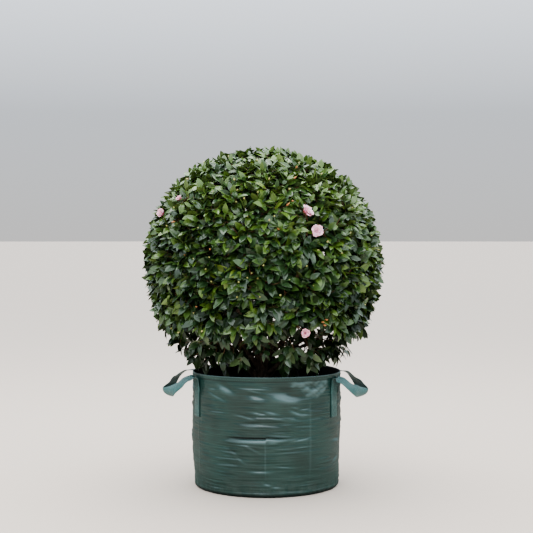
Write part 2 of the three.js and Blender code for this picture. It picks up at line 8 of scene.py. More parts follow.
# %% Load the solids
import math

import bpy
import numpy as np
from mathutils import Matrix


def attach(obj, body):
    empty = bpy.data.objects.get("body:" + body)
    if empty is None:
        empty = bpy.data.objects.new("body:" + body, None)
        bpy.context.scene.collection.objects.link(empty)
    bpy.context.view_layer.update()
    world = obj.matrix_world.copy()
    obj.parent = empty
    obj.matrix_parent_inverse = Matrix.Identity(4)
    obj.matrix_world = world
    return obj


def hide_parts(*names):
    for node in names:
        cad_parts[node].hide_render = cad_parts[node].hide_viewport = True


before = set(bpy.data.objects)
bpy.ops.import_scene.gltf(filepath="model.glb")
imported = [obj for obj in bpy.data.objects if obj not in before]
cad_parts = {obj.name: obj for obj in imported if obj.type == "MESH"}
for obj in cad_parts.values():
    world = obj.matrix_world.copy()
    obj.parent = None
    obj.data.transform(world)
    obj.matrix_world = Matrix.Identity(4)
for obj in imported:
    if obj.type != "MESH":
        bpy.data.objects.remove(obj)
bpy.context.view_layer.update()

# %% [markdown]
# The camera comes first, because it fixes what has to be seen. Its height, tilt and lens were worked out
# from the ellipses of the bag's rim and underside and from the horizon: a standing photographer's long
# lens, four and a half metres away, just above the middle of the plant. The picture is square.

# %% Camera
CAMERA_DISTANCE = 4.5
CAMERA_HEIGHT = 0.93
PICTURE_SIDE = 533
HORIZON_ROW = 236  # the picture row that the camera's own height falls on, far away
LENS_PIXELS = 1200  # the lens's length, counted in the picture's pixels
SENSOR_WIDTH = 36  # in millimetres

camera_data = bpy.data.cameras.new("camera")
camera_data.sensor_width = SENSOR_WIDTH
camera_data.lens = SENSOR_WIDTH * LENS_PIXELS / PICTURE_SIDE
camera = bpy.data.objects.new("camera", camera_data)
camera.location = (0, -CAMERA_DISTANCE, CAMERA_HEIGHT)
dip = math.atan((PICTURE_SIDE / 2 - HORIZON_ROW) / LENS_PIXELS)
camera.rotation_euler = (math.pi / 2 - dip, 0, 0)
bpy.context.scene.collection.objects.link(camera)
bpy.context.scene.camera = camera
print("lens:", round(camera_data.lens, 1), "mm, looking down", round(math.degrees(dip), 2), "degrees")

# %% [markdown]
# Leaves are judged by their shine, so the light matters as much as the leaf. An overcast sky is brightest
# overhead and dim near the ground, and that difference is what a glossy leaf or a folded bag shows: faces
# that tilt up shine and upright ones stay dark. Even light from all round would be simpler, but it lays
# the same haze on every face. So the world is a dome, a plain shade for each height, and two soft lamps,
# one overhead and one high in front, sharpen it. A pale floor sends some light back up under the ball.

# %% Light and floor
# The dome's colour at each height, which is the sine of the angle above the horizon.
DOME = {
    -0.02: (0.60, 0.59, 0.58), 0.02: (0.70, 0.71, 0.72), 0.10: (0.62, 0.65, 0.69), 0.22: (1.15, 1.22, 1.32),
    0.38: (2.20, 2.36, 2.56), 0.60: (2.40, 2.58, 2.80), 0.85: (1.95, 2.08, 2.24),
}
LAMP_AIM = np.array([0, 0, 0.8])
FLOOR_RADIUS = 200

world = bpy.data.worlds.new("studio")
world.use_nodes = True
bpy.context.scene.world = world
bpy.context.scene.view_settings.view_transform = "AgX"
bpy.context.scene.view_settings.look = "AgX - Medium High Contrast"


def light_dome(tree):
    """Colours the world by the sine of the height above the horizon, straight lines between stops."""
    kinds = ("TexCoord", "SeparateXYZ", "MapRange", "ValToRGB")
    place, split, spread, ramp = [tree.nodes.new("ShaderNode" + kind) for kind in kinds]
    spread.inputs["From Min"].default_value = -1
    tree.links.new(place.outputs["Generated"], split.inputs[0])
    tree.links.new(split.outputs["Z"], spread.inputs["Value"])
    tree.links.new(spread.outputs[0], ramp.inputs[0])
    tree.links.new(ramp.outputs[0], tree.nodes["Background"].inputs["Color"])
    stops = ramp.color_ramp.elements
    chosen = [stops[0], stops[1]] + [stops.new(0.5) for _ in range(len(DOME) - 2)]
    for stop, (height, colour) in zip(chosen, DOME.items()):
        stop.position = (height + 1) / 2
        stop.color = (*colour, 1)


def soft_lamp(name, place, size, power):
    """A square area lamp at a place, turned to the crown's middle."""
    data = bpy.data.lights.new(name, "AREA")
    data.size = size
    data.energy = power
    lamp = bpy.data.objects.new(name, data)
    lamp.location = place
    x, y, z = LAMP_AIM - place
    lamp.rotation_euler = (math.atan2(math.hypot(x, y), -z), 0, math.atan2(-x, y))
    bpy.context.scene.collection.objects.link(lamp)


light_dome(world.node_tree)
soft_lamp("overhead", (-0.3, 0.6, 4.6), size=3.6, power=160)
soft_lamp("front", (-0.6, -4.3, 4.0), size=3.0, power=70)
print("dome stops:", len(DOME), "lamps:", len(bpy.data.lights))

# %% [markdown]
# Every finish below is a small set of nodes, and shader arithmetic is easier to read as Python. `Wire`
# wraps one socket, so that `1 - mask * 0.5` adds the Math nodes itself. `Finish` holds one material: its
# `node` method adds any node, and numbers that are the same all over go straight to the shader.

# %% Shader helpers


class Wire:
    """One socket's value in a finish. Arithmetic on it adds Math nodes."""

    def __init__(self, finish, socket):
        self.finish = finish
        self.socket = socket

    def maths(self, operation, *values):
        return self.finish.node("Math", {"operation": operation}, dict(enumerate(values)))

    def __add__(self, other):
        return self.maths("ADD", self, other)

    def __sub__(self, other):
        return self.maths("SUBTRACT", self, other)

    def __rsub__(self, other):
        return self.maths("SUBTRACT", other, self)

    def __mul__(self, other):
        return self.maths("MULTIPLY", self, other)

    __radd__ = __add__
    __rmul__ = __mul__

    def sine(self):
        return self.maths("SINE", self)

    def above(self, edge, width):
        """0 below the edge and 1 above it, melting over a width."""
        sockets = {"Value": self, "From Min": edge - width / 2, "From Max": edge + width / 2}
        return self.finish.node("MapRange", {"interpolation_type": "SMOOTHSTEP"}, sockets)


class Finish:
    """A material with one Principled shader. Constants go straight to the shader's sockets."""

    def __init__(self, name, **constants):
        self.material = bpy.data.materials.new(name)
        self.material.use_nodes = True
        self.tree = self.material.node_tree
        self.shader = self.tree.nodes["Principled BSDF"]
        for socket, value in constants.items():
            self.feed(socket.replace("_", " "), value)

    def plug(self, socket, value):
        if isinstance(value, Wire):
            self.tree.links.new(value.socket, socket)
        else:
            socket.default_value = (*value, 1) if socket.type == "RGBA" else value

    def feed(self, socket, value):
        self.plug(self.shader.inputs[socket], value)

    def node(self, kind, settings=None, sockets=None, output=0):
        """Adds a node: its settings first, then the values or links of its sockets."""
        made = self.tree.nodes.new("ShaderNode" + kind)
        for name, value in (settings or {}).items():
            setattr(made, name, value)
        for name, value in (sockets or {}).items():
            self.plug(made.inputs[name], value)
        return Wire(self, made.outputs[output])

    def split(self, place):
        """The three numbers of a place, each as a wire of its own."""
        return [Wire(self, part) for part in self.node("SeparateXYZ", None, {0: place}).socket.node.outputs]

    def stretched(self, place, by):
        return self.node("Mapping", None, {"Vector": place, "Scale": by})

    def place(self, by=(1, 1, 1)):
        """The point's own place on the object, stretched along each axis."""
        return self.stretched(self.node("TexCoord", output="Object"), by)

    def lay(self):
        """Metres along and across a surface, from its own map."""
        return self.node("UVMap", {"uv_map": "lay"}, output="UV")

    def noise(self, place, scale, detail):
        return self.node("TexNoise", None, {"Vector": place, "Scale": scale, "Detail": detail})

    def mix(self, share, a, b):
        """Colour a where the share is 0 and b where it is 1."""
        return self.node("Mix", {"data_type": "RGBA"}, {0: share, 6: a, 7: b}, output=2)

    def bump(self, height, distance):
        relief = self.node("Bump", None, {"Height": height, "Distance": distance, "Strength": 1.0})
        self.feed("Normal", relief)


# %% Floor
floor_finish = Finish("pale_floor", Base_Color=(0.57, 0.49, 0.415), Roughness=0.9)
bpy.ops.mesh.primitive_circle_add(vertices=64, radius=FLOOR_RADIUS, fill_type="NGON")
floor = bpy.context.object
floor.name = "floor"
floor.data.materials.append(floor_finish.material)

# %% [markdown]
# All the new meshes are arrays. A surface is a grid of points, and its triangles join each point to the
# next in its row and in the row after. A shape is a pair: an array of points and an array of triangles.
# Hundreds of like shapes are one array with one more axis, so no loop goes over single points.

# %% Mesh helpers
UP = np.array([0.0, 0.0, 1.0])
GOLDEN_ANGLE = math.pi * (3 - math.sqrt(5))
SLANT = np.array([0.13, 0.31, 0.94])  # a direction that no twig points along
QUAD = np.array([[0, 0], [0, 1], [1, 1], [0, 0], [1, 1], [1, 0]])  # a square's two triangles


def unit(v):
    """Each vector divided by its own length."""
    return v / np.maximum(np.linalg.norm(v, axis=-1, keepdims=True), 1e-12)


def lerp(a, b, t):
    return a + (b - a) * t


def smoothstep(x, low, high):
    """0 below low, 1 above high, and 3t squared minus 2t cubed between them."""
    t = np.clip((x - low) / (high - low), 0, 1)
    return t * t * (3 - 2 * t)


def grid_corners(rows, columns, closed=False):
    """The row and column of each triangle's three corners. A closed grid's last column joins its first."""
    r, c = np.meshgrid(np.arange(rows - 1), np.arange(columns if closed else columns - 1), indexing="ij")
    corners = np.stack([r, c], -1).reshape(-1, 1, 2) + QUAD
    return corners.reshape(-1, 3, 2)


def grid_triangles(rows, columns, closed=False):
    corners = grid_corners(rows, columns, closed)
    return corners[..., 0] * columns + corners[..., 1] % columns


def copies(points, triangles):
    """Joins many shapes with the same triangles: points is (shapes, points, 3)."""
    count, size = points.shape[:2]
    lifted = triangles[None] + (np.arange(count) * size)[:, None, None]
    return points.reshape(-1, 3), lifted.reshape(-1, 3)


def joined(*shapes):
    """Several shapes as one."""
    starts = np.cumsum([0] + [len(points) for points, _ in shapes])
    points = np.concatenate([points for points, _ in shapes])
    triangles = np.concatenate([faces + start for (_, faces), start in zip(shapes, starts)])
    return points, triangles


def tube_triangles(rings, sides):
    """A tube's wall, and a fan at each end round one more point."""
    wall = grid_triangles(rings, sides, closed=True)
    a = np.arange(sides)
    b = (a + 1) % sides
    last = (rings - 1) * sides
    foot = np.stack([b, a, np.full(sides, rings * sides)], -1)
    head = np.stack([a + last, b + last, np.full(sides, rings * sides + 1)], -1)
    return np.concatenate([wall, foot, head])


def piece(name, shape, finish, replaces=(), marks=None, second=None, whitening_and_painted_light=None):
    """Puts a shape into Blender as a smooth piece that rides on the part's one body.

    marks is (triangles, 3, 2): each corner's place on the map named lay. second is another finish and
    a mask of the triangles that wear it. whitening_and_painted_light is one number for each point, for the
    finish to read: whitened tape and painted highlight above 0, painted shade below 0."""
    points, triangles = shape
    mesh = bpy.data.meshes.new(name)
    mesh.vertices.add(len(points))
    mesh.vertices.foreach_set("co", points.astype(np.float32).ravel())
    mesh.loops.add(triangles.size)
    mesh.loops.foreach_set("vertex_index", triangles.astype(np.int32).ravel())
    mesh.polygons.add(len(triangles))
    mesh.polygons.foreach_set("loop_start", np.arange(0, triangles.size, 3, dtype=np.int32))
    mesh.materials.append(finish.material)
    if second:
        mesh.materials.append(second[0].material)
        mesh.polygons.foreach_set("material_index", second[1].astype(np.int32))
    if marks is not None:
        layer = mesh.uv_layers.new(name="lay")
        layer.uv.foreach_set("vector", marks.astype(np.float32).ravel())
    if whitening_and_painted_light is not None:
        mesh.attributes.new("whitening_and_painted_light", "FLOAT", "POINT").data.foreach_set("value", whitening_and_painted_light.astype(np.float32))
    mesh.update(calc_edges=True)
    mesh.validate()
    mesh.shade_smooth()
    made = bpy.data.objects.new(name, mesh)
    bpy.context.scene.collection.objects.link(made)
    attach(made, "root")
    if replaces:
        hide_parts(*replaces)
    print(f"{name}: {len(triangles)} triangles")
    return made


def crumple(points, waves, size, seed):
    """A soft random relief, seldom past -1 or 1: the sum of cosine waves in seeded directions.

    size is the wave's length along each axis, in metres."""
    draws = np.random.default_rng(seed)
    ways = unit(draws.normal(size=(waves, 3))) * draws.uniform(0.7, 1.4, (waves, 1))
    phases = draws.uniform(0, 2 * math.pi, waves)
    height = np.zeros(points.shape[:-1])
    for way, phase in zip(ways, phases):
        height += np.cos(points @ (2 * math.pi * way / np.array(size)) + phase)
    return height * math.sqrt(2 / waves) * 0.6


# %% [markdown]
# The bag is woven plastic tape, sewn to a round bottom and filled. It is one skin that turns over at the
# rim: up the outside, round the folded hem, down the inside to the soil. It could be a cloth simulation,
# but what shows is not drape. It is the memory of how the bag was packed: straight fold lines, one
# sharp crease half way up, fine ripples round the wall where the filling settled, and slanting ledges.
# Each is a height added along the wall's own normal. Most also add to a second number for each point,
# the whitening and painted light that the finish reads: above 0 the tape is paler, partly whitened by
# the fold and partly a painted highlight, and below 0 it carries painted shade.

# %% The bag's sizes
BAG_RADIUS = 0.275
BAG_FOOT_RADIUS = 0.267
BAG_HEIGHT = 0.430
BAG_WALL = 0.003
BOTTOM_ROUND = 0.020
SEAM_ROUND = 0.011  # the sewn edge is tighter than the solids' round one
SWELL = (0.0035, 0.001, 0.0150)  # how far the filling pushes the cloth out: at the foot, the rim and between
HEM_DEPTH = 0.024  # on the solids
HEM_BAND = 0.014  # as it shows
HEM_PROUD = 0.0012
HEM_LINE = BAG_HEIGHT - HEM_BAND + 0.004  # where it is sewn
HEM_TUCK = 0.0006  # how far the seam is pulled in
RIM_DIP = 0.005
SLACK = 0.0012
SLACK_LOBES = 3
SLACK_TURN = 0.6
MIX_EDGE = 0.360
MIX_TOP = 0.370
MIX_FLAT_RADIUS = 0.090


def wall_radius(height):
    """The solids' straight cone from the foot's radius to the rim's, and over it the filling's swell:
    a straight share plus the third number times s (1 - s)."""
    share = np.clip((height - BOTTOM_ROUND) / (BAG_HEIGHT - BOTTOM_ROUND), 0, 1)
    swell = lerp(SWELL[0], SWELL[1], share) + SWELL[2] * share * (1 - share)
    return lerp(BAG_FOOT_RADIUS, BAG_RADIUS, share) + swell


def slacken(points):
    """A soft three-lobed plan, and a rim that dips at the handles."""
    x, y, z = points[..., 0], points[..., 1], points[..., 2]
    angle = np.arctan2(y, x)
    share = np.clip(z / BAG_HEIGHT, 0, 1)
    off = SLACK * share * (np.hypot(x, y) / BAG_RADIUS) * np.sin(SLACK_LOBES * angle + SLACK_TURN)
    dip = RIM_DIP * share**3 * np.cos(angle) ** 2
    return points + np.stack([off * np.cos(angle), off * np.sin(angle), -dip], -1)


def round_points(radius, angle, height):
    """Points by their distance from the middle line, their angle round it and their height."""
    radius, angle, height = np.broadcast_arrays(radius, angle, height)
    return np.stack([radius * np.cos(angle), radius * np.sin(angle), height], -1)


# %% [markdown]
# A ledge is the mark that a pinch leaves: a valley, and just under it a ridge, so that the strip between
# them looks up at the sky and shines. The front's ledges are where the photo shows them. The rest of the
# wall gets some at random. Angles are measured from the front, to the right, in metres round the wall.

# %% The bag's relief
# Where each ledge is (metres to the right of the front's middle, and height), then its slope in degrees,
# its length, its width and how strong its whitening and painted highlight are.
FRONT_LEDGES = [
    (0.062, 0.3600, -9, 0.060, 0.0270, 1.0),
    (0.092, 0.3500, -6, 0.034, 0.0150, 0.6),
    (-0.154, 0.3850, -24, 0.046, 0.0160, 0.9),
    (-0.035, 0.3560, -8, 0.044, 0.0150, 0.5),
    (-0.214, 0.3820, 0, 0.026, 0.0060, 0.5),
    (-0.196, 0.3560, -19, 0.050, 0.0070, 0.4),
    (-0.045, 0.3890, -2, 0.070, 0.0045, 0.6),
    (-0.040, 0.3800, -10, 0.036, 0.0060, 0.5),
    (-0.036, 0.3040, -8, 0.026, 0.0060, 0.7),
    (0.018, 0.3040, -11, 0.030, 0.0080, 0.7),
    (-0.016, 0.2985, 3, 0.018, 0.0045, 0.6),
    (0.108, 0.3010, -22, 0.032, 0.0080, 0.8),
    (0.142, 0.2935, -3, 0.030, 0.0060, 0.8),
    (0.140, 0.3130, 0, 0.024, 0.0045, 0.5),
    (0.104, 0.3210, -12, 0.018, 0.0060, 0.4),
    (-0.092, 0.2920, -8, 0.034, 0.0060, 0.5),
    (-0.062, 0.2840, -10, 0.032, 0.0055, 0.5),
    (0.036, 0.2840, -8, 0.040, 0.0060, 0.5),
    (0.096, 0.2800, -9, 0.026, 0.0060, 0.4),
    (-0.044, 0.2600, 4, 0.052, 0.0110, 0.5),
    (0.020, 0.2010, 0, 0.030, 0.0110, 0.5),
    (0.130, 0.2050, 8, 0.050, 0.0050, 0.5),
    (0.130, 0.1790, 2, 0.055, 0.0045, 0.5),
    (0.058, 0.1750, -2, 0.050, 0.0045, 0.4),
    (-0.072, 0.1870, -4, 0.048, 0.0060, 0.2),
    (-0.052, 0.1760, -25, 0.038, 0.0070, 0.25),
    (-0.118, 0.1560, -28, 0.028, 0.0070, 0.15),
    (0.084, 0.1620, 1, 0.070, 0.0050, 0.4),
    (-0.096, 0.1340, -30, 0.032, 0.0060, 0.15),
    (-0.024, 0.0930, -1, 0.050, 0.0075, 0.5),
    (0.060, 0.1100, -5, 0.044, 0.0045, 0.4),
    (0.002, 0.0480, -12, 0.018, 0.0070, 0.5),
    (0.036, 0.0380, -4, 0.020, 0.0050, 0.7),
]
BACK_LEDGES = 44
LEDGE_DEPTH = 0.20  # a share of its width, so that the strip leans back about 25 degrees
# The lower edge of the patch that is creased all over: metres to the right, and heights. It ends at the hem.
CRUMPLED = np.array([
    (0.080, 0.398), (0.120, 0.387), (0.150, 0.360), (0.200, 0.352), (0.240, 0.375), (0.260, 0.396),
])
CREASE_HEIGHT = 0.212
CREASE_STEP = 0.003  # how far it steps up at the middle fold
CREASE_TALL = (0.012, 0.008)  # how tall its lip is, left and right of the middle fold
CREASE_PROUD = 0.0060  # how far the lip stands out
CREASE_GROOVE = 0.0028  # how deep the groove over it is
# Where each upright fold is, how high it reaches and how pale it is painted: whitened tape and painted
# highlight.
FOLD_LINES = [
    (-0.47, 0.38, 0.2), (-0.30, 0.30, 0.1), (-0.004, 0.200, 0.28), (0.1645, 0.350, 0.38),
    (0.44, 0.38, 0.3), (0.62, 0.20, 0.4), (0.80, 0.38, 0.3),
]
FOLD_LINE_FOOT = 0.045
# The wall's own waves: how high, how many, how long along each axis, and their seed.
BULGES = (0.0020, 9, (0.24, 0.24, 0.16), 1)
RIPPLES = (0.0013, 16, (0.15, 0.15, 0.022), 3)
FINE_RIPPLES = (0.0008, 20, (0.09, 0.09, 0.0105), 4)
# The same for the crumpled patch, without a height.
PATCH_WAVES = (14, (0.046, 0.046, 0.024), 6)
PATCH_RIPPLES = (14, (0.020, 0.020, 0.012), 7)
SEAM_HEIGHT = 0.014  # the bottom's sewn edge, and the puckers along it


def bell(x, width, sharp=1):
    """1 where x is 0, and less on both sides: e to the power of minus sharp times x over width, squared."""
    return np.exp(-sharp * (x / width) ** 2)


def all_ledges():
    """The front's ledges and seeded ones round the back."""
    draws = np.random.default_rng(5)
    behind = []
    for _ in range(BACK_LEDGES):
        size = draws.uniform(0.03, 0.07)
        at = draws.uniform(0.30, 0.86) * draws.choice([-1, 1])
        height = 0.06 + 0.33 * draws.uniform() ** 0.6
        behind.append((at, height, draws.normal(0, 9), size, size / 5, draws.uniform(0.15, 0.6)))
    return FRONT_LEDGES + behind


def beside_ledge(s, z, at, height, slope, length):
    """How far a point lies across a ledge, and a bell along it."""
    turn = math.radians(slope)
    along = (s - at) * math.cos(turn) + (z - height) * math.sin(turn)
    across = (z - height) * math.cos(turn) - (s - at) * math.sin(turn)
    return across, bell(along, length, 2)


def ledge(s, z, at, height, slope, length, width):
    """A valley over a ridge: the difference of two bells across the ledge."""
    across, fade = beside_ledge(s, z, at, height, slope, length)
    ridge, valley = bell(across + width / 2, width, 2), bell(across - width / 2, width, 2)
    return LEDGE_DEPTH * width * fade * (ridge - valley)


def ledge_whitening_and_painted_light(s, z, at, height, slope, length, width, strength):
    """A paler bell across the strip, whitened tape and painted highlight, sharper above than below, and over
    a wide ledge a bell of painted shade.
    """
    across, fade = beside_ledge(s, z, at, height, slope, length)
    pale = bell(across, width * np.where(across > 0, 0.35, 0.75))
    return strength * fade * (pale - 0.4 * bell(across - 1.1 * width, 0.5 * width) * (width > 0.009))


def crumpled(s, angle, height):
    """How far a point is inside the crumpled patch, 0 to 1, and the patch's own small waves."""
    start, end, top = CRUMPLED[0, 0], CRUMPLED[-1, 0], BAG_HEIGHT - HEM_BAND
    low = np.interp(s, *CRUMPLED.T)
    inside = smoothstep(height, low - 0.009, low + 0.009) * smoothstep(s, start - 0.012, start + 0.016)
    inside = inside * (1 - smoothstep(s, end - 0.020, end + 0.006))
    inside = inside * (1 - smoothstep(height, top - 0.003, top))
    at = round_points(BAG_RADIUS, angle, height)
    waves = crumple(at, *PATCH_WAVES) + 0.5 * crumple(at, *PATCH_RIPPLES)
    return inside, waves


def crease(s, z):
    """The packing crease: a narrow groove over a lip that stands out and dies away below. Gives its
    height, and its painted light: a painted highlight on the lip and painted shade in the groove.

    At the middle fold it steps up a few millimetres, and to the right it thins out to a line."""
    right = smoothstep(s, -0.006, 0.002)
    below = CREASE_HEIGHT + CREASE_STEP * right + 0.010 * np.minimum(s, 0) - 0.06 * np.maximum(s, 0) - z
    tall = lerp(*CREASE_TALL, right)
    lip = smoothstep(below, -0.001, tall) * np.exp(-np.maximum(below - tall, 0) / 0.02)
    reach = smoothstep(s, -0.18, -0.07) * (1 - 0.7 * smoothstep(s, 0.04, 0.08))
    reach = reach * (1 - smoothstep(s, 0.12, 0.22))
    height = reach * ((CREASE_PROUD - 0.002 * right) * lip - CREASE_GROOVE * bell(below, 0.0026))
    pale = 1.1 * bell(below - 0.75 * tall, 0.62 * tall) * smoothstep(s, -0.16, -0.05)
    return height, reach * (pale - lerp(1.7, 0.7, right) * bell(below + 0.0015, 0.0038))


def creases(s, z):
    """The front's crease and two more like it round the back."""
    front, left, behind = crease(s, z), crease(-0.5 - s, z), crease(0.8 - s, z)
    return front[0] + 0.7 * (left[0] + behind[0]), front[1] + 0.7 * (left[1] + behind[1])


def fold_lines(s, height, wide):
    """The upright folds, each a narrow bell that fades near the bottom and at its own top: the sum of
    the bells, and the sum of the bells times how pale each fold is painted, whitened tape and painted
    highlight."""
    foot = smoothstep(height, FOLD_LINE_FOOT, 0.12)

    def fold(line, top):
        return foot * (1 - smoothstep(height, top - 0.02, top)) * bell(s - line, wide)

    bells = [fold(line, top) for line, top, _ in FOLD_LINES]
    return sum(bells), sum(one * pale for one, (_, _, pale) in zip(bells, FOLD_LINES))


def beside_front(angle):
    """Metres round the wall to the right of the front's middle."""
    s = (angle + math.pi / 2) * BAG_RADIUS
    return (s + math.pi * BAG_RADIUS) % (2 * math.pi * BAG_RADIUS) - math.pi * BAG_RADIUS


def wall_whitening_and_painted_light(angle, height):
    """Where the tape is paler, up to 1, partly whitened by folds and partly a painted highlight, and where
    shade is painted into a fold, down to -1: the ledges, the packing crease, the crumpled patch's painted
    silvery highlights and the upright folds, with painted shade at the hem's foot and a painted highlight
    along the rim."""
    s = beside_front(angle)
    inside, waves = crumpled(s, angle, height)
    # Painted highlight on the crease's lip and on the crumpled patch's silvery strokes, painted shade in the
    # crease's groove.
    whitening_and_painted_light = creases(s, height)[1] + inside * np.clip(0.50 + 0.42 * waves, 0, 1)
    whitening_and_painted_light = whitening_and_painted_light + fold_lines(s, height, 0.0022)[1]
    for place in all_ledges():
        whitening_and_painted_light = whitening_and_painted_light + ledge_whitening_and_painted_light(s, height, *place)
    # Painted shade in a line under the hem's band, and a painted highlight along the rim's edge.
    whitening_and_painted_light -= 0.7 * bell(height - BAG_HEIGHT + HEM_BAND + 0.002, 0.0022)
    whitening_and_painted_light += 0.5 * smoothstep(height, BAG_HEIGHT - 0.0035, BAG_HEIGHT - 0.0005)
    return np.clip(whitening_and_painted_light, -1, 1) * strap_calm(angle, height)


def wall_relief(angle, height):
    """The height of the wall's skin over its plain cone, in metres."""
    s = beside_front(angle)
    at = round_points(BAG_RADIUS, angle, height)
    patchy = np.clip(0.65 + 0.6 * crumple(at, 8, (0.16, 0.16, 0.14), 2), 0.15, 1.4)
    relief = BULGES[0] * crumple(at, *BULGES[1:])
    for ripples in (RIPPLES, FINE_RIPPLES):
        relief += ripples[0] * patchy * crumple(at, *ripples[1:])
    for *place, _ in all_ledges():
        relief += ledge(s, height, *place)
    inside, waves = crumpled(s, angle, height)
    relief += creases(s, height)[0] + 0.0011 * inside * waves + 0.0010 * fold_lines(s, height, 0.0045)[0]
    pucker = np.sin(s * 210 + 2 * np.sin(s * 31)) * bell(height - SEAM_HEIGHT - 0.002, 0.016)
    relief += 0.0010 * pucker + 0.0012 * bell(height - SEAM_HEIGHT, 0.0035)
    calm = 1 - smoothstep(height, BAG_HEIGHT - 2.2 * HEM_DEPTH, BAG_HEIGHT - 0.5 * HEM_DEPTH) * 0.6
    return relief * calm * strap_calm(angle, height)


# %% [markdown]
# A strap that is sewn to the wall holds it flat, so the relief fades where a handle's tail lies. The two
# handles are a little different: on the real bag their feet are not set out evenly.

# %% Where the handles are sewn
STRAP_WIDTH = 0.048
STRAP_THICK = 0.0024
STRAP_TAIL = 0.160
LOOP_OUT = {-1: 0.103, 1: 0.0925}  # how far the loop's end stands out from the rim, left and right
LOOP_DROP = {-1: 0.0845, 1: 0.088}
HANDLE_SPREAD = {-1: math.radians(23.5), 1: math.radians(27.4)}  # half the angle between a handle's ends
STRAP_OFF_WALL = 0.00075
LOOP_TILT = {-1: (0.79, 0.61), 1: (0.83, 0.56)}  # outwards and up, where the loop's end stands on edge
# How far out (as a share of the loop), how far in towards its middle and how high each arm's points are.
# Both arms peel off the hem's foot, and the front one hangs lower.
ARMS = {
    (-1, "front"): [(0.08, 0, -0.0155), (0.29, 0.01, -0.0185), (0.46, 0.03, -0.026), (0.64, 0.09, -0.041),
                    (0.83, 0.21, -0.0565), (1.01, 0.46, -0.071)],
    (-1, "back"): [(0.12, 0, -0.0125), (0.44, 0.01, -0.0115), (0.60, 0.04, -0.016), (0.78, 0.10, -0.0265),
                   (0.94, 0.23, -0.042), (1.05, 0.47, -0.059)],
    (1, "front"): [(0.06, 0, -0.016), (0.17, 0, -0.0195), (0.34, 0.02, -0.0265), (0.58, 0.07, -0.042),
                   (0.85, 0.21, -0.060), (1.08, 0.49, -0.074)],
    (1, "back"): [(0.15, 0.01, -0.0125), (0.40, 0.02, -0.0155), (0.58, 0.04, -0.018), (0.72, 0.07, -0.023),
                  (0.90, 0.13, -0.036), (1.09, 0.28, -0.053), (1.23, 0.52, -0.068)],
}


def strap_angles():
    """The middle of each of the four tails, round the bag."""
    left, right = HANDLE_SPREAD[-1], HANDLE_SPREAD[1]
    return [-right, right, math.pi + left, math.pi - left]


def strap_calm(angle, height):
    """0 under a strap's tail and 1 away from it."""
    calm = np.ones(np.broadcast(angle, height).shape)
    for middle in strap_angles():
        off = np.abs((angle - middle + math.pi) % (2 * math.pi) - math.pi) * BAG_RADIUS
        beside = smoothstep(off, STRAP_WIDTH * 0.55, STRAP_WIDTH * 0.9)
        under = 1 - smoothstep(height, BAG_HEIGHT - STRAP_TAIL - 0.03, BAG_HEIGHT - STRAP_TAIL - 0.005)
        calm *= np.maximum(beside, under)
    return calm


def hem_relief(height):
    """The folded band stands proud, and its sewn line is pulled in."""
    foot = BAG_HEIGHT - HEM_BAND
    band = smoothstep(height, foot - 0.001, foot + 0.0012)
    return HEM_PROUD * band - HEM_TUCK * bell(height - HEM_LINE, 0.002)


def on_wall(angle, height, off=0.0):
    """A point on the bag's outside, or off it by some metres."""
    radius = wall_radius(height) + wall_relief(angle, height) + hem_relief(height) + off
    return slacken(round_points(radius, angle, height))


# %% The bag's skin
BAG_COLUMNS = 384
WALL_ROWS = 215
MAP_TURN = 2 * math.pi * BAG_RADIUS
RIM_BEND = [[-0.0008, 0.0008], [-0.0022, 0.0006]]  # two rows over the rim: outwards and up from its edge


def turns(count):
    """Even angles once round."""
    return np.arange(count) / count * 2 * math.pi


def far_along(line):
    """How far each point of a line lies from its start, measured along the line."""
    return np.append(0, np.cumsum(np.linalg.norm(np.diff(line, axis=0), axis=1)))


def bag_profile():
    """The skin from the middle of its underside, up, over the rim and down inside: radius, height,
    how much of the wall's relief each row takes, and whether the row is inside."""
    corner = np.linspace(0, math.pi / 2, 7)
    foot = BAG_FOOT_RADIUS + SWELL[0] - SEAM_ROUND
    under = np.stack([np.linspace(0.01, 1, 8) * foot, np.zeros(8)], -1)[:-1]
    bend = np.stack([foot + SEAM_ROUND * np.sin(corner), SEAM_ROUND * (1 - np.cos(corner))], -1)
    heights = np.linspace(SEAM_ROUND, BAG_HEIGHT, WALL_ROWS)[1:]
    wall = np.stack([wall_radius(heights), heights], -1)
    edge = BAG_RADIUS + SWELL[1]
    rim = np.array([edge, BAG_HEIGHT]) + RIM_BEND
    down = np.linspace(BAG_HEIGHT - 0.001, MIX_EDGE - 0.02, 14)
    inside = np.stack([wall_radius(down) - BAG_WALL, down], -1)
    rows = np.concatenate([under, bend, wall, rim, inside])
    outer = len(under) + len(bend) + len(wall)
    rest = np.ones(len(wall) + len(rim) + len(inside))
    takes = np.concatenate([np.zeros(len(under) + 2), np.linspace(0.3, 1, len(bend) - 2), rest])
    return rows, takes, outer


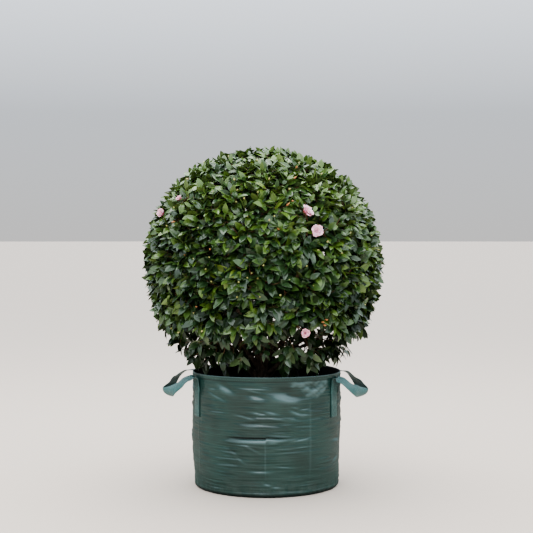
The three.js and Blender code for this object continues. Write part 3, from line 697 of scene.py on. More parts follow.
def bag_skin():
    """The skin's shape, its map, which triangles are inside, and its whitening and painted light."""
    rows, takes, outer = bag_profile()
    angle = turns(BAG_COLUMNS)[None, :]
    radius, height = rows[:, :1], rows[:, 1:]
    lift = wall_relief(angle, np.clip(height, 0, BAG_HEIGHT)) * takes[:, None]
    lift[:outer] += hem_relief(height[:outer])
    lift[outer] += HEM_PROUD
    lift[:2] = 0
    points = slacken(round_points(radius + lift, angle, height)).reshape(-1, 3)
    corners = grid_corners(len(rows), BAG_COLUMNS, closed=True)
    marks = np.stack([corners[..., 1] / BAG_COLUMNS * MAP_TURN, far_along(rows)[corners[..., 0]]], -1)
    # The underside closes round one point in its middle, and the skin ends out of sight, in the soil.
    a = np.arange(BAG_COLUMNS)
    fan = np.stack([a, np.full(BAG_COLUMNS, len(points)), (a + 1) % BAG_COLUMNS], -1)
    fan_marks = np.stack([a / BAG_COLUMNS * MAP_TURN] * 3, -1)[..., None] * [1, 0]
    triangles = np.concatenate([grid_triangles(len(rows), BAG_COLUMNS, closed=True), fan])
    inside = np.append(corners[..., 0].min(1) >= outer + 1, np.zeros(BAG_COLUMNS, bool))
    whitening_and_painted_light = np.append(wall_whitening_and_painted_light(angle, height) * takes[:, None], 0)
    return (np.append(points, [[0, 0, 0]], 0), triangles), np.concatenate([marks, fan_marks]), inside, whitening_and_painted_light


# %% [markdown]
# Woven plastic tape shines like paper under varnish. The finish is a dark teal with a clear gloss, tapes
# two millimetres wide that show as a fine grid, tints that drift along each tape, chalky dust near the
# ground, paler tape along the packing folds, partly whitened and partly a painted highlight, painted shade
# in the folds' grooves and under the hem, and a band of painted shade along the bottom edge.

# %% Bag finish
TAPE = 0.0022
BAG_GREEN = (0.007, 0.036, 0.029)
BAG_DEEP = (0.004, 0.024, 0.019)
BAG_STREAK = (0.032, 0.088, 0.074)
BAG_DUST = (0.10, 0.11, 0.095)
BAG_WHITENED_AND_HIGHLIGHT = (0.100, 0.165, 0.165)
BAG_SHADE = (0.002, 0.006, 0.005)


def woven_finish():
    finish = Finish("woven_bag", IOR=1.25, Coat_Roughness=0.17, Coat_IOR=1.6)
    lay = finish.lay()
    s, z, _ = finish.split(lay)
    weave = (s * (math.pi / TAPE)).sine() * (z * (math.pi / TAPE)).sine()
    streak = finish.noise(finish.stretched(lay, (6, 320, 1)), 1.0, 3)
    ripple = finish.noise(finish.stretched(lay, (9, 90, 1)), 1.0, 4)
    cloud = finish.noise(finish.place(), 9, 3)
    high = finish.split(finish.place())[2]
    dust = (1 - high.above(0.04, 0.10)) * finish.noise(finish.place(), 30, 5).above(0.5, 0.3)
    # Painted shade on the lowest centimetre of the wall, where the foot turns under in shadow.
    painted_foot_shade = 1 - high.above(0.011, 0.010)
    # Above 0: paler tape, partly whitened by the folds and partly painted highlight; below 0: painted shade
    # in the folds.
    whitening_and_painted_light = finish.node("Attribute", {"attribute_name": "whitening_and_painted_light"}, output="Fac")
    edge_on = finish.node("LayerWeight", None, {"Blend": 0.5}, "Facing")
    base = finish.mix(cloud.above(0.52, 0.3), BAG_DEEP, BAG_GREEN)
    base = finish.mix(streak.above(0.60, 0.25) * 0.35, base, BAG_STREAK)
    base = finish.mix(dust * 0.35, base, BAG_DUST)
    # Mixes in the paler tape with its painted highlights, the painted shade at the foot and the painted
    # shade in the folds.
    base = finish.mix(painted_foot_shade * 0.8, finish.mix(whitening_and_painted_light * 0.7, base, BAG_WHITENED_AND_HIGHLIGHT), BAG_SHADE)
    finish.feed("Base Color", finish.mix(whitening_and_painted_light * -0.9, base, BAG_SHADE))
    finish.feed("Roughness", 0.45 + 0.14 * cloud + dust * 0.25)
    unshaded = 1 - (whitening_and_painted_light * -1).above(0.5, 1.0) * 0.7
    finish.feed("Coat Weight", (0.64 - 0.8 * edge_on - dust * 0.4) * (1 - painted_foot_shade * 0.7) * unshaded)
    finish.bump(ripple + weave * 0.10, 0.0014)
    return finish


def lining_finish():
    finish = Finish("bag_lining", Roughness=0.6)
    cloud = finish.noise(finish.place(), 14, 3)
    finish.feed("Base Color", finish.mix(cloud, (0.006, 0.010, 0.009), (0.012, 0.020, 0.018)))
    return finish


WOVEN = woven_finish()
bag_shape, bag_marks, bag_inside, bag_whitening_and_painted_light = bag_skin()
piece("bag_skin", bag_shape, WOVEN, ["bag"], bag_marks, (lining_finish(), bag_inside), bag_whitening_and_painted_light)

# %% [markdown]
# A tube along a line serves for twigs, stems and stitches alike. It is a ring of points carried along
# the line: each ring lies square to the line, and its two directions are worked out once for the whole
# line, from one vector that the line never points along.

# %% Tubes


def square_to(along, near=UP):
    """Two directions square to each vector and to each other: e1 crossed with e2 gives the vector."""
    e1 = unit(np.cross(along, near) + 1e-9)
    return e1, np.cross(along, e1)


def tubes(lines, radii, sides, near=UP):
    """Closed tubes along many lines: lines is (tubes, rings, 3), and radii is (tubes, rings), or
    (tubes, rings, sides) where a tube isn't round.

    Each point is its ring's middle plus the radius times the cosine of its turn along one square
    direction, plus the sine along the other."""
    e1, e2 = square_to(unit(np.gradient(lines, axis=1)), near)
    turn = turns(sides)[:, None]
    ring = e1[:, :, None] * np.cos(turn) + e2[:, :, None] * np.sin(turn)
    thick = radii if radii.ndim == 3 else radii[:, :, None]
    wall = lines[:, :, None] + ring * thick[..., None]
    points = np.concatenate([wall.reshape(len(lines), -1, 3), lines[:, [0, -1]]], 1)
    return copies(points, tube_triangles(lines.shape[1], sides))


def stitches(starts, ends, off, thick=0.0009):
    """A row of short threads that dive into the cloth at both ends: thin tubes, fat in the middle."""
    share = np.array([0, 0.25, 0.75, 1])
    lines = lerp(starts[:, None], ends[:, None], share[:, None])
    lines = lines + off[:, None] * np.array([-0.4, 1, 1, -0.4])[:, None] * thick
    return tubes(lines, np.tile([0.3, 1, 1, 0.3], (len(starts), 1)) * thick / 2, 5)


# %% The hem's sewn line
HEM_STITCH = 0.0075
STITCH_SHARE = 0.62  # how much of its step a stitch covers
THREAD = Finish("thread", Base_Color=(0.03, 0.10, 0.085), Roughness=0.6)


def hem_stitches():
    count = int(MAP_TURN / HEM_STITCH)
    a = turns(count)
    a = a[strap_calm(a, BAG_HEIGHT - HEM_DEPTH) > 0.5]
    step = STITCH_SHARE * 2 * math.pi / count
    return stitches(on_wall(a, HEM_LINE), on_wall(a + step, HEM_LINE), round_points(1, a, 0))


piece("hem_stitches", hem_stitches(), THREAD)

# %% [markdown]
# The handles are flat woven webbing. Each runs up the wall, over the rim, out and down in a loop, and
# back. A flat strap needs to know which way its width points as well as where it goes: on the wall it
# lies flat, and half way along each arm it makes a quarter turn, so that the loop's end stands on edge.
# The route is a centripetal Catmull-Rom line through a few points, as on the solids.

# %% Handle route


def beside_wall(angle, height, clearance):
    """A point just outside the wall, as the solids have it, under the middle of a strap."""
    foot = BAG_HEIGHT - HEM_DEPTH
    on_hem = smoothstep(height, foot - 10 * HEM_PROUD, foot - 2 * HEM_PROUD)
    return slacken(round_points(wall_radius(height) + HEM_PROUD * on_hem + clearance, angle, height))


def smooth_line(points, fine=60):
    """A centripetal Catmull-Rom line. Each stretch is a cubic whose slopes at its two ends come from the
    neighbouring points, weighed by the square roots of the distances between them."""
    p = np.concatenate([[2 * points[0] - points[1]], points, [2 * points[-1] - points[-2]]])
    gap = np.sqrt(np.linalg.norm(np.diff(p, axis=0), axis=1))[:, None]
    p0, p1, p2, p3 = p[:-3], p[1:-2], p[2:-1], p[3:]
    g0, g1, g2 = gap[:-2], gap[1:-1], gap[2:]
    s1 = ((p1 - p0) / g0 - (p2 - p0) / (g0 + g1) + (p2 - p1) / g1) * g1
    s2 = ((p2 - p1) / g1 - (p3 - p1) / (g1 + g2) + (p3 - p2) / g2) * g1
    t = np.linspace(0, 1, fine, endpoint=False)[None, :, None]
    p1, p2, s1, s2 = p1[:, None], p2[:, None], s1[:, None], s2[:, None]
    line = p1 + s1 * t + (3 * (p2 - p1) - 2 * s1 - s2) * t**2 + (2 * (p1 - p2) + s1 + s2) * t**3
    return np.concatenate([line.reshape(-1, 3), points[-1:]])


def evenly(line, count):
    """Points at equal steps along a line, and the line's length."""
    far = far_along(line)
    at = np.linspace(0, far[-1], count)
    return np.stack([np.interp(at, far, line[:, k]) for k in range(3)], -1), far[-1]


def handle_line(side, steps):
    spread = HANDLE_SPREAD[side]
    front = math.pi + spread if side < 0 else -spread
    clearance = STRAP_OFF_WALL + STRAP_THICK / 2
    sewn_heights = (BAG_HEIGHT - STRAP_TAIL, BAG_HEIGHT - STRAP_TAIL / 2, BAG_HEIGHT - 2 * HEM_DEPTH)

    def hung(angle, out, inwards, rise):
        x, y, z = beside_wall(angle, BAG_HEIGHT, clearance)
        return [x + side * out * LOOP_OUT[side], y * (1 - inwards), z + rise]

    def half(angle, places):
        sewn = [beside_wall(angle, height, clearance) for height in sewn_heights]
        return sewn + [hung(angle, *place) for place in places]

    end = hung(math.pi if side < 0 else 0, 1, 0, -LOOP_DROP[side])
    route = half(front, ARMS[side, "front"]) + [end] + half(-front, ARMS[side, "back"])[::-1]
    return evenly(smooth_line(np.array(route)), steps)


# %% Handle shape
STRAP_STEPS = 220
STRAP_TURN = 5  # how late the quarter turn comes: 1 turns evenly along the arm
EARLY_TURN = (0.13, 0.03)  # the share of it that comes as soon as the front and the back arm hang free
STRAP_CUP = 1.2  # how far each half of the webbing bends back at the loop's end, in radians
EDGE_WAVE = 0.0012  # soft webbing is never flat: its edges wave a little where it hangs free
EDGE_WAVES = 75  # in radians a metre


def strap_section():
    """Round the webbing's section, in metres across and through: a flat bar with round edges."""
    edge = np.linspace(-math.pi / 2, math.pi / 2, 5)
    half = STRAP_WIDTH / 2 - STRAP_THICK / 2
    right = np.stack([half + STRAP_THICK / 2 * np.cos(edge), STRAP_THICK / 2 * np.sin(edge)], -1)
    top = np.stack([np.linspace(half, -half, 13)[1:-1], np.full(11, STRAP_THICK / 2)], -1)
    return np.concatenate([right, top, -right, -top])


def strap_directions(side, line, t, reach, inner):
    """Which way the webbing's width and its face point at each step of the line."""
    early = lerp(*EARLY_TURN, smoothstep(t, 0.42, 0.58))
    turn = (1 - early) * np.clip(reach, 0, 1) ** STRAP_TURN + early * smoothstep(reach, 0, 0.15)
    turn = (turn * math.pi / 2)[:, None]
    along = unit(np.gradient(line, axis=0))
    flat = unit(np.stack([line[:, 1], -line[:, 0], 0 * t], -1)) * -side * inner
    edge_up = np.array([LOOP_TILT[side][0] * side, 0, LOOP_TILT[side][1]])
    across = flat * np.cos(turn) + edge_up * np.sin(turn)
    across = unit(across - (across * along).sum(1, keepdims=True) * along)
    return across, np.cross(along, across)


def strap_shape(side):
    """Carries the section along the handle's line, with its map. On the wall it wraps round with it."""
    line, length = handle_line(side, STRAP_STEPS)
    t = np.linspace(0, 1, STRAP_STEPS)
    tail = (STRAP_TAIL - 2 * HEM_DEPTH) / length
    reach = (np.minimum(t, 1 - t) - tail) / (0.5 - tail)
    inner = np.where(t < 0.5, 1.0, -1.0)[:, None]
    across, through = strap_directions(side, line, t, reach, inner)
    section = strap_section()
    wide, deep = section.T
    # The free webbing cups: its section lies round an arc whose middle is on the hand's side.
    arc = STRAP_WIDTH / 2 / np.maximum(STRAP_CUP * smoothstep(reach, 0.2, 0.9), 0.001)[:, None]
    wave = EDGE_WAVE * np.sin(t * length * EDGE_WAVES + side)[:, None] * (wide / STRAP_WIDTH * 2) ** 2
    wave = wave * smoothstep(reach, 0.0, 0.2)[:, None]
    over = (arc + side * deep) * np.sin(wide / arc)
    off = (arc + side * deep) * np.cos(wide / arc) * side - side * arc + wave
    free = line[:, None] + across[:, None] * over[..., None] + through[:, None] * off[..., None]
    height = (BAG_HEIGHT - STRAP_TAIL + np.minimum(t, 1 - t) * length)[:, None]
    angle = np.arctan2(line[:, 1], line[:, 0])[:, None] + side * inner * wide / BAG_RADIUS
    sewn = beside_wall(angle, height, STRAP_OFF_WALL + STRAP_THICK / 2 - side * deep)
    points = np.where((reach <= 0)[:, None, None], sewn, free)
    ends = points[[0, -1]].mean(1)
    shape = np.append(points.reshape(-1, 3), ends, 0), tube_triangles(STRAP_STEPS, len(wide))
    corners = grid_corners(STRAP_STEPS, len(wide), closed=True)
    around = far_along(np.append(section, section[:1], 0))[corners[..., 1]]
    marks = np.stack([t[corners[..., 0]] * length, around], -1)
    return shape, np.append(marks, np.zeros((2 * len(wide), 3, 2)), 0), length


# %% Webbing finish
RIB = 0.0016
WEBBING_TEAL = (0.026, 0.126, 0.118)
WEBBING_GROOVE_SHADE = (0.010, 0.060, 0.055)
WEBBING_WORN = (0.12, 0.24, 0.22)
SEWN_OUT = 0.289  # up to this far from the bag's middle line the webbing is sewn down
SEWN_SHADE = 0.5  # painted shade on the sewn tails, which lie in the arms' shadow


def webbing_finish():
    """Narrow ribs along the strap, crossed by the weft, with painted shade in the grooves between the ribs
    and on the sewn tails.
    """
    finish = Finish("webbing", IOR=1.45, Coat_Weight=0.12, Coat_Roughness=0.35)
    s, girth, _ = finish.split(finish.lay())
    along = s * (math.pi / (RIB * 0.8))
    across = girth * (math.pi / RIB)
    rib = across.sine()
    weave = rib.maths("ABSOLUTE", rib) + (along + across).sine() * 0.35
    worn = finish.noise(finish.place(), 35, 4)
    out = finish.node("VectorMath", {"operation": "LENGTH"}, {0: finish.place((1, 1, 0))}, output="Value")
    # Painted shade in the grooves between the ribs, so that their crowns look lighter.
    base = finish.mix(weave.above(0.55, 0.9), WEBBING_GROOVE_SHADE, WEBBING_TEAL)
    # Painted shade on the sewn tails, in the shadow of the arms.
    base = finish.mix((1 - out.above(SEWN_OUT, 0.010)) * SEWN_SHADE, base, BAG_DEEP)
    finish.feed("Base Color", finish.mix(worn.above(0.62, 0.3) * 0.4, base, WEBBING_WORN))
    finish.feed("Roughness", 0.42 + worn * 0.2)
    finish.bump(weave, 0.0005)
    return finish


WEBBING = webbing_finish()
for side, name in ((-1, "left"), (1, "right")):
    shape, marks, strap_length = strap_shape(side)
    piece(f"webbing_{name}", shape, WEBBING, [f"handle_{name}"], marks)
    print("strap length:", round(strap_length, 3))

# %% [markdown]
# A handle is sewn with two rows of long stitches near its edges and a crossed box at its lower end.
# The thread is a shade paler than the webbing, and it lies in rows of small closed tubes.

# %% Handle stitching
STRAP_STITCH = 0.0055
STRAP_MARGIN = 0.005  # from the webbing's edge to its stitches
BOX_HEIGHT = 0.036


def sewn_row(middle, start, end):
    """Stitches from one place on a tail to another; a place is metres across and metres high."""
    start, end = np.array(start), np.array(end)
    count = int(np.linalg.norm(end - start) / STRAP_STITCH)
    share = np.arange(count)[:, None] / count

    def put(share):
        across, height = lerp(start, end, share).T
        return middle + across / BAG_RADIUS, height

    places = put(share), put(share + STITCH_SHARE / count)
    starts, ends = [beside_wall(*place, STRAP_OFF_WALL + STRAP_THICK) for place in places]
    return stitches(starts, ends, round_points(1, places[0][0], 0))


def tail_stitches():
    low = BAG_HEIGHT - STRAP_TAIL + 0.006
    box = low + BOX_HEIGHT
    top = BAG_HEIGHT - 2 * HEM_DEPTH - 0.003
    edge = STRAP_WIDTH / 2 - STRAP_MARGIN
    rows = []
    for middle in strap_angles():
        rows += [sewn_row(middle, (x, low), (x, top)) for x in (-edge, edge)]
        rows += [sewn_row(middle, (-edge, z), (edge, z)) for z in (low, box, top)]
        rows += [sewn_row(middle, (-x, low), (x, box)) for x in (-edge, edge)]
    return joined(*rows)


PALE_THREAD = Finish("pale_thread", Base_Color=(0.10, 0.23, 0.20), Roughness=0.6)
piece("handle_stitches", tail_stitches(), PALE_THREAD)

# %% [markdown]
# The soil is composted bark: a lumpy dark bed and loose chips. The bed is a disc of rings and spokes
# whose height is a sum of soft waves. The chips are bricks with eight corners, each corner pushed at
# random, laid nearly flat. Hundreds of them need to be cheap, so each has twelve triangles.

# %% Potting mix
MIX_RINGS = 56
MIX_SPOKES = 160
MIX_CLEAR = 0.011  # so that no dent in the wall shows the mix
CHIPS = 2200
CHIP_SIZE = np.array([0.016, 0.009, 0.004])
CHIP_REACH = 0.262
CHIP_TILT = 0.45  # how far from level the chips lie
CHIP_RISE = 0.002  # how far a chip's middle lies over the bed
# How high the bed's lumps and crumbs are, how many waves they have, their size and seed.
LUMPS = (0.0032, 12, (0.045, 0.045, 1), 20)
CRUMBS = (0.0014, 14, (0.014, 0.014, 1), 21)


def mix_height(x, y):
    """The bed falls from its flat middle to the bag's wall, with lumps of two sizes."""
    reach = np.hypot(x, y)
    fall = np.clip((reach - MIX_FLAT_RADIUS) / (BAG_RADIUS - MIX_FLAT_RADIUS), 0, 1)
    at = np.stack([x, y, 0 * x], -1)
    lumps = LUMPS[0] * crumple(at, *LUMPS[1:]) + CRUMBS[0] * crumple(at, *CRUMBS[1:])
    return lerp(MIX_TOP, MIX_EDGE, fall) + lumps * smoothstep(reach, 0.03, 0.07)


def mix_bed():
    """Rings of the top, then two rings that close it underneath."""
    wall = BAG_RADIUS - BAG_WALL - MIX_CLEAR
    radius = np.linspace(0.002, wall, MIX_RINGS)
    flat = round_points(radius[:, None], turns(MIX_SPOKES)[None, :], 0)
    top = flat.copy()
    top[..., 2] = mix_height(flat[..., 0], flat[..., 1])
    under = flat[[-1, 0]].copy()
    under[..., 2] = MIX_EDGE - 0.03
    points = np.concatenate([top, under])
    middles = np.array([[0, 0, points[-1, 0, 2]], [0, 0, points[0, 0, 2]]])
    triangles = tube_triangles(len(points), MIX_SPOKES)[:, ::-1]
    return np.concatenate([points.reshape(-1, 3), middles[::-1]]), triangles


BRICK = np.array([[x, y, z] for z in (-1, 1) for y in (-1, 1) for x in (-1, 1)]) / 2.0
BRICK_FACES = np.array([
    [0, 2, 3], [0, 3, 1], [4, 5, 7], [4, 7, 6], [0, 1, 5], [0, 5, 4],
    [2, 6, 7], [2, 7, 3], [0, 4, 6], [0, 6, 2], [1, 3, 7], [1, 7, 5],
])


def bark_chips(count, seed):
    draws = np.random.default_rng(seed)
    reach = CHIP_REACH * np.sqrt(draws.uniform(0.02, 1, count))
    angle = draws.uniform(0, 2 * math.pi, count)
    size = draws.uniform(0.5, 1.0, (count, 1)) * CHIP_SIZE
    corners = BRICK * size[:, None] * draws.uniform(0.55, 1.2, (count, 8, 3))
    up = unit(draws.normal(size=(count, 3)) * CHIP_TILT + UP)
    e1, e2 = square_to(up, unit(draws.normal(size=(count, 3))))
    x, y = reach * np.cos(angle), reach * np.sin(angle)
    middle = np.stack([x, y, mix_height(x, y) + CHIP_RISE], -1)
    return copies(middle[:, None] + corners @ np.stack([e1, e2, up], 1), BRICK_FACES)


def soil_finish(name, dark, light):
    finish = Finish(name, Roughness=0.95)
    grain = finish.noise(finish.place(), 90, 5)
    finish.feed("Base Color", finish.mix(grain.above(0.5, 0.35), dark, light))
    finish.bump(grain, 0.004)
    return finish


MIX = soil_finish("potting_mix", (0.012, 0.008, 0.006), (0.045, 0.030, 0.021))
CHIP = soil_finish("bark_chip", (0.035, 0.020, 0.012), (0.12, 0.070, 0.042))
piece("mix_bed", mix_bed(), MIX, ["potting_mix"])
piece("bark_chips", bark_chips(CHIPS, 22), CHIP)

# %% [markdown]
# The trunk and boughs are tapering limbs on smooth curves. The curves are the solids' own, so they are
# written again here with the same seeded draws: a spiral of boughs that leave the trunk just over the
# soil. Bark could be a bump in the finish, but a limb seen against the light shows its outline, so the
# ridges and knots are real: each ring's radius swells and sinks with soft waves stretched along the limb.

# %% Random numbers like the solids'


def stream(seed):
    """A seeded stream of numbers from 0 to 1: a counter, scrambled by two shifts and products."""
    state = seed
    whole = 0xFFFFFFFF
    while True:
        state = (state + 0x6D2B79F5) & whole
        t = ((state ^ (state >> 15)) * (1 | state)) & whole
        t = ((t + ((t ^ (t >> 7)) * (61 | t) & whole)) & whole) ^ t
        yield ((t ^ (t >> 14)) & whole) / 4294967296


# %% The limbs' sizes, as on the solids
TRUNK_X = -0.017
TRUNK_SINK = 0.025
TRUNK_FORK = 0.462
TRUNK_LEAN = 0.004
TRUNK_RADIUS = 0.023
TRUNK_TAPER = 0.86
FLARE_RADIUS = 0.040
FLARE_HEIGHT = 0.020
ROOT_LOBES = 5
ROOT_LOBE_SHARE = 0.16
LOW_REACH = 0.128
LOW_HEIGHT = 0.497
SOCKET = 0.010
CROWN = np.array([-0.012, 0.0, 0.833])
CROWN_RADIUS = 0.440
HOLLOW_RADIUS = 0.215
HOLLOW_HEIGHT = 0.095
HOLLOW_FOOT = 0.592
LEADER_SHORT = 0.026


def heading(azimuth):
    """A level direction, measured from the front to the right."""
    return np.stack([np.sin(azimuth), -np.cos(azimuth), 0 * np.asarray(azimuth)], -1)


def leaning(azimuth, slope):
    return unit(heading(azimuth) * slope + UP)


def bezier(points, t):
    """A Bezier curve: the points weighed by the binomial shares of 1 - t and t."""
    n = len(points) - 1
    t = np.asarray(t)[..., None]
    return sum(math.comb(n, k) * (1 - t) ** (n - k) * t**k * p for k, p in enumerate(points))


TRUNK_LINE = [
    np.array([TRUNK_X - TRUNK_LEAN / 2, -TRUNK_LEAN / 2, MIX_TOP - TRUNK_SINK]),
    np.array([TRUNK_X - TRUNK_LEAN / 2, 0, (MIX_TOP + TRUNK_FORK) / 2]),
    np.array([TRUNK_X + TRUNK_LEAN / 2, 0, TRUNK_FORK]),
]


def wandering(start, leave, end, arrive, pull):
    """A cubic Bezier that leaves along one direction and arrives along another."""
    reach = np.linalg.norm(end - start) * pull
    return [start, start + leave * reach, end - arrive * reach, end]


def hollow_point(azimuth, share):
    """The roof of the hollow under the ball, straight out from its middle line."""
    v = heading(azimuth) * share * HOLLOW_RADIUS
    return CROWN * [1, 1, 0] + v + UP * (HOLLOW_FOOT + HOLLOW_HEIGHT * math.sqrt(1 - share * share))


def bough_plans():
    """Each bough's curve, its radius at both ends, and the way it points at its tip."""
    draw = stream(11)
    centre_way = leaning(-math.pi / 2, 0.12)
    top = hollow_point(0, 0) - UP * LEADER_SHORT
    line = wandering(bezier(TRUNK_LINE, 0.8), leaning(math.pi / 2, 0.1), top, centre_way, 0.34)
    plans = [("centre", 0, line, (0.015, 0.0085), centre_way)]
    for i in range(6):
        azimuth = (i + 0.5 + 0.24 * (next(draw) - 0.5)) / 6 * 2 * math.pi
        arrive = leaning(azimuth, 0.75)
        tip = hollow_point(azimuth, 0.74 + 0.06 * next(draw)) + arrive * SOCKET
        line = wandering(bezier(TRUNK_LINE, 0.62 + 0.2 * (i % 2)), leaning(azimuth, 0.85), tip, arrive, 0.3)
        plans.append(("main", azimuth, line, (0.0115, 0.006), arrive))
    for i in range(6):
        azimuth = (i + 0.1 * (next(draw) - 0.5)) / 6 * 2 * math.pi
        root = bezier(TRUNK_LINE, 0.3 + 0.16 * (i % 2))
        tip = root + heading(azimuth) * LOW_REACH * (1 + 0.1 * next(draw))
        tip[2] = LOW_HEIGHT + 0.016 * next(draw)
        line = wandering(root, leaning(azimuth, 2.8), tip, leaning(azimuth, 1.6), 0.36)
        plans.append(("low", azimuth, line, (0.009, 0.0066), leaning(azimuth, 1.6)))
    return plans


# %% Limbs with bark
TRUNK_RINGS = 90
TRUNK_SIDES = 72
BOUGH_RINGS = 70
BOUGH_SIDES = 28
# How deep the bark's relief is, as a share of the radius, how many waves it has, and their size.
RIDGES = (0.045, 12, (0.011, 0.011, 0.07))
WRINKLES = (0.030, 12, (0.006, 0.006, 0.02))
KNOTS = (0.16, 9, (0.05, 0.05, 0.05))


def barked(line, radius, near, seed):
    """A tube whose radius, a number for each ring and side, carries the bark: soft ridges along the limb,
    finer wrinkles and a few knots."""
    sides = radius.shape[1]
    turn = turns(sides)
    at = np.stack([radius * np.cos(turn), radius * np.sin(turn), far_along(line)[:, None] + 0 * radius], -1)
    relief = RIDGES[0] * crumple(at, *RIDGES[1:], seed) + WRINKLES[0] * crumple(at, *WRINKLES[1:], seed + 1)
    relief += KNOTS[0] * smoothstep(crumple(at, *KNOTS[1:], seed + 2), 0.75, 1.2)
    return tubes(line[None], (radius * (1 + relief))[None], sides, near)


def trunk_shape():
    """The solids' trunk: a stem with five root buttresses that melt into it, from the soil to the fork."""
    t = np.linspace(0, 1, 400)
    t = np.linspace(np.interp(MIX_TOP, bezier(TRUNK_LINE, t)[:, 2], t), 1, TRUNK_RINGS)
    rise = np.maximum(0, t * (TRUNK_FORK - MIX_TOP + TRUNK_SINK) - TRUNK_SINK)
    flare = np.exp(-rise / FLARE_HEIGHT)[:, None]
    stem = TRUNK_RADIUS * lerp(1, TRUNK_TAPER, t)[:, None] + (FLARE_RADIUS - TRUNK_RADIUS) * flare
    radius = stem * (1 + ROOT_LOBE_SHARE * flare * np.cos(ROOT_LOBES * turns(TRUNK_SIDES)))
    return barked(bezier(TRUNK_LINE, t), radius, np.array([0.0, 1.0, 0.0]), 30)


def bough_shape(plan, seed):
    _, azimuth, line, radii, _ = plan
    t = np.linspace(0, 1, BOUGH_RINGS)
    radius = lerp(*radii, np.sqrt(t))[:, None] * np.ones(BOUGH_SIDES)
    return barked(bezier(line, t), radius, np.cross(UP, heading(azimuth)) + 0.01, seed)


BOUGHS = bough_plans()
bough_names = ["centre_bough"] + [f"{kind}_bough_{i + 1}" for kind in ("main", "low") for i in range(6)]

# %% [markdown]
# Camellia bark is smooth, grey-brown and a little mottled, with paler patches where lichen sits. The
# colour follows two noises: a long one along the limb and a fine one.

# %% Bark finish


def bark_finish(name, dark, light, patch):
    finish = Finish(name, Roughness=0.85)
    streak = finish.noise(finish.place((1, 1, 0.25)), 60, 5)
    spots = finish.noise(finish.place(), 45, 3)
    base = finish.mix(streak.above(0.5, 0.4), dark, light)
    finish.feed("Base Color", finish.mix(spots.above(0.64, 0.1) * 0.6, base, patch))
    finish.bump(streak, 0.003)
    return finish


BARK = bark_finish("bark", (0.042, 0.028, 0.018), (0.125, 0.090, 0.062), (0.19, 0.175, 0.135))
piece("trunk_bark", trunk_shape(), BARK, ["trunk"])
boughs = joined(*[bough_shape(plan, 40 + 3 * i) for i, plan in enumerate(BOUGHS)])
piece("bough_bark", boughs, BARK, bough_names)

# %% [markdown]
# The crown grows by one rule, the solids' own. Even points are dealt out on a shell round the crown's
# middle, and each joins the nearest shoot of the shells inside it. The solids stop at the third shell.
# Here the rule goes on to twiglets and sprays, so the same limbs carry finer and finer wood. The
# skirt under the ball grows the same way from the low boughs, a sixth of the turn each, but loosely.

# %% Growth rule
BALL_FOOT = 0.605
SKIRT_TOP = 0.598
SKIRT_FOOT = 0.400
SKIRT_BARE = 0.095
SKIRT_STEM = (0.072, 0.034)
SHELL_SHAKE = 0.16  # in radians
TWIG_STEP = 0.014  # between the twigs of one parent


def even_points(count, radius, spread, seed):
    """Even directions all round the crown's middle: the height falls in equal steps and the angle grows
    by the golden angle. A seed shakes the angle and the radius a little."""
    draw = stream(seed)
    shake = np.array([next(draw) for _ in range(2 * count)]).reshape(count, 2) - 0.5
    i = np.arange(count)
    z = 1 - (2 * i + 1) / count
    angle = i * GOLDEN_ANGLE + SHELL_SHAKE * shake[:, 0]
    level = np.sqrt(1 - z * z)
    reach = radius * (1 + spread * shake[:, 1])
    return CROWN + reach[:, None] * np.stack([level * np.cos(angle), level * np.sin(angle), z], -1)


def join_shoots(points, parents):
    """Each point joins the nearest parent's tip. Twigs of one parent leave it a step apart."""
    gap = ((points[:, None] - parents["tip"][None]) ** 2).sum(-1)
    mine = gap.argmin(1)
    order = np.zeros(len(points))
    taken = np.zeros(len(parents["tip"]))
    for k, m in enumerate(mine):
        order[k] = taken[m]
        taken[m] += 1
    root = parents["tip"][mine] - parents["along"][mine] * (TWIG_STEP * (order % 4))[:, None]
    return {"root": root, "tip": points, "along": unit(points - root), "leave": parents["along"][mine]}


def gathered(parts, keys=None):
    """Several groups of shoots or leaves as one."""
    return {key: np.concatenate([part[key] for part in parts]) for key in keys or parts[0]}


def grow(stems, shells):
    """Grows every shell's shoots, each from the stems and the shells before it."""
    grown = []
    for points in shells:
        parents = gathered([stems, *grown], ("tip", "along"))
        grown.append(join_shoots(points, parents))
    return grown


# %% The ball's shoots
# Each shell: how many points, its radius, its spread and its seed. The first three are the solids' own.
BALL_SHELLS = [
    (20, 0.210, 0.04, 20), (66, 0.322, 0.04, 21), (130, 0.393, 0.03, 22),
    (560, 0.396, 0.05, 23), (900, 0.362, 0.06, 24), (1850, 0.406, 0.04, 25),
]
THINNED = (0.3, 0.7, 0.4)  # the share taken out of each fine shell near the ball's foot
OPEN_BELOW = (0.60, 0.76)  # heights between which the ball thins out to let the light through
OPEN_PATCH = (0.17, 0.17, 0.13)  # the size of an open patch
CLIPPED = {"side": 1.030, "top": -0.030, "low": 0.045}  # the clipped outline over the crown's radius
HEAD_REACH = 0.07  # how far the ball's stems go on beyond the main boughs


def outline(way):
    """The clipped outline's radius in a direction: a little flat on top and full under its widest part."""
    up = way[..., 2]
    top = smoothstep(up, 0.80, 0.94)
    low = 1 - smoothstep(up, -0.62, -0.30)
    return CROWN_RADIUS * (CLIPPED["side"] + CLIPPED["top"] * top + CLIPPED["low"] * low)


def stems_from(plans, reach):
    """The boughs' tips, which way they point, and places that far beyond them."""
    tips = np.array([bezier(line, 1.0) for _, _, line, _, _ in plans])
    ways = np.array([arrive for *_, arrive in plans])
    return tips, ways, tips + ways * reach


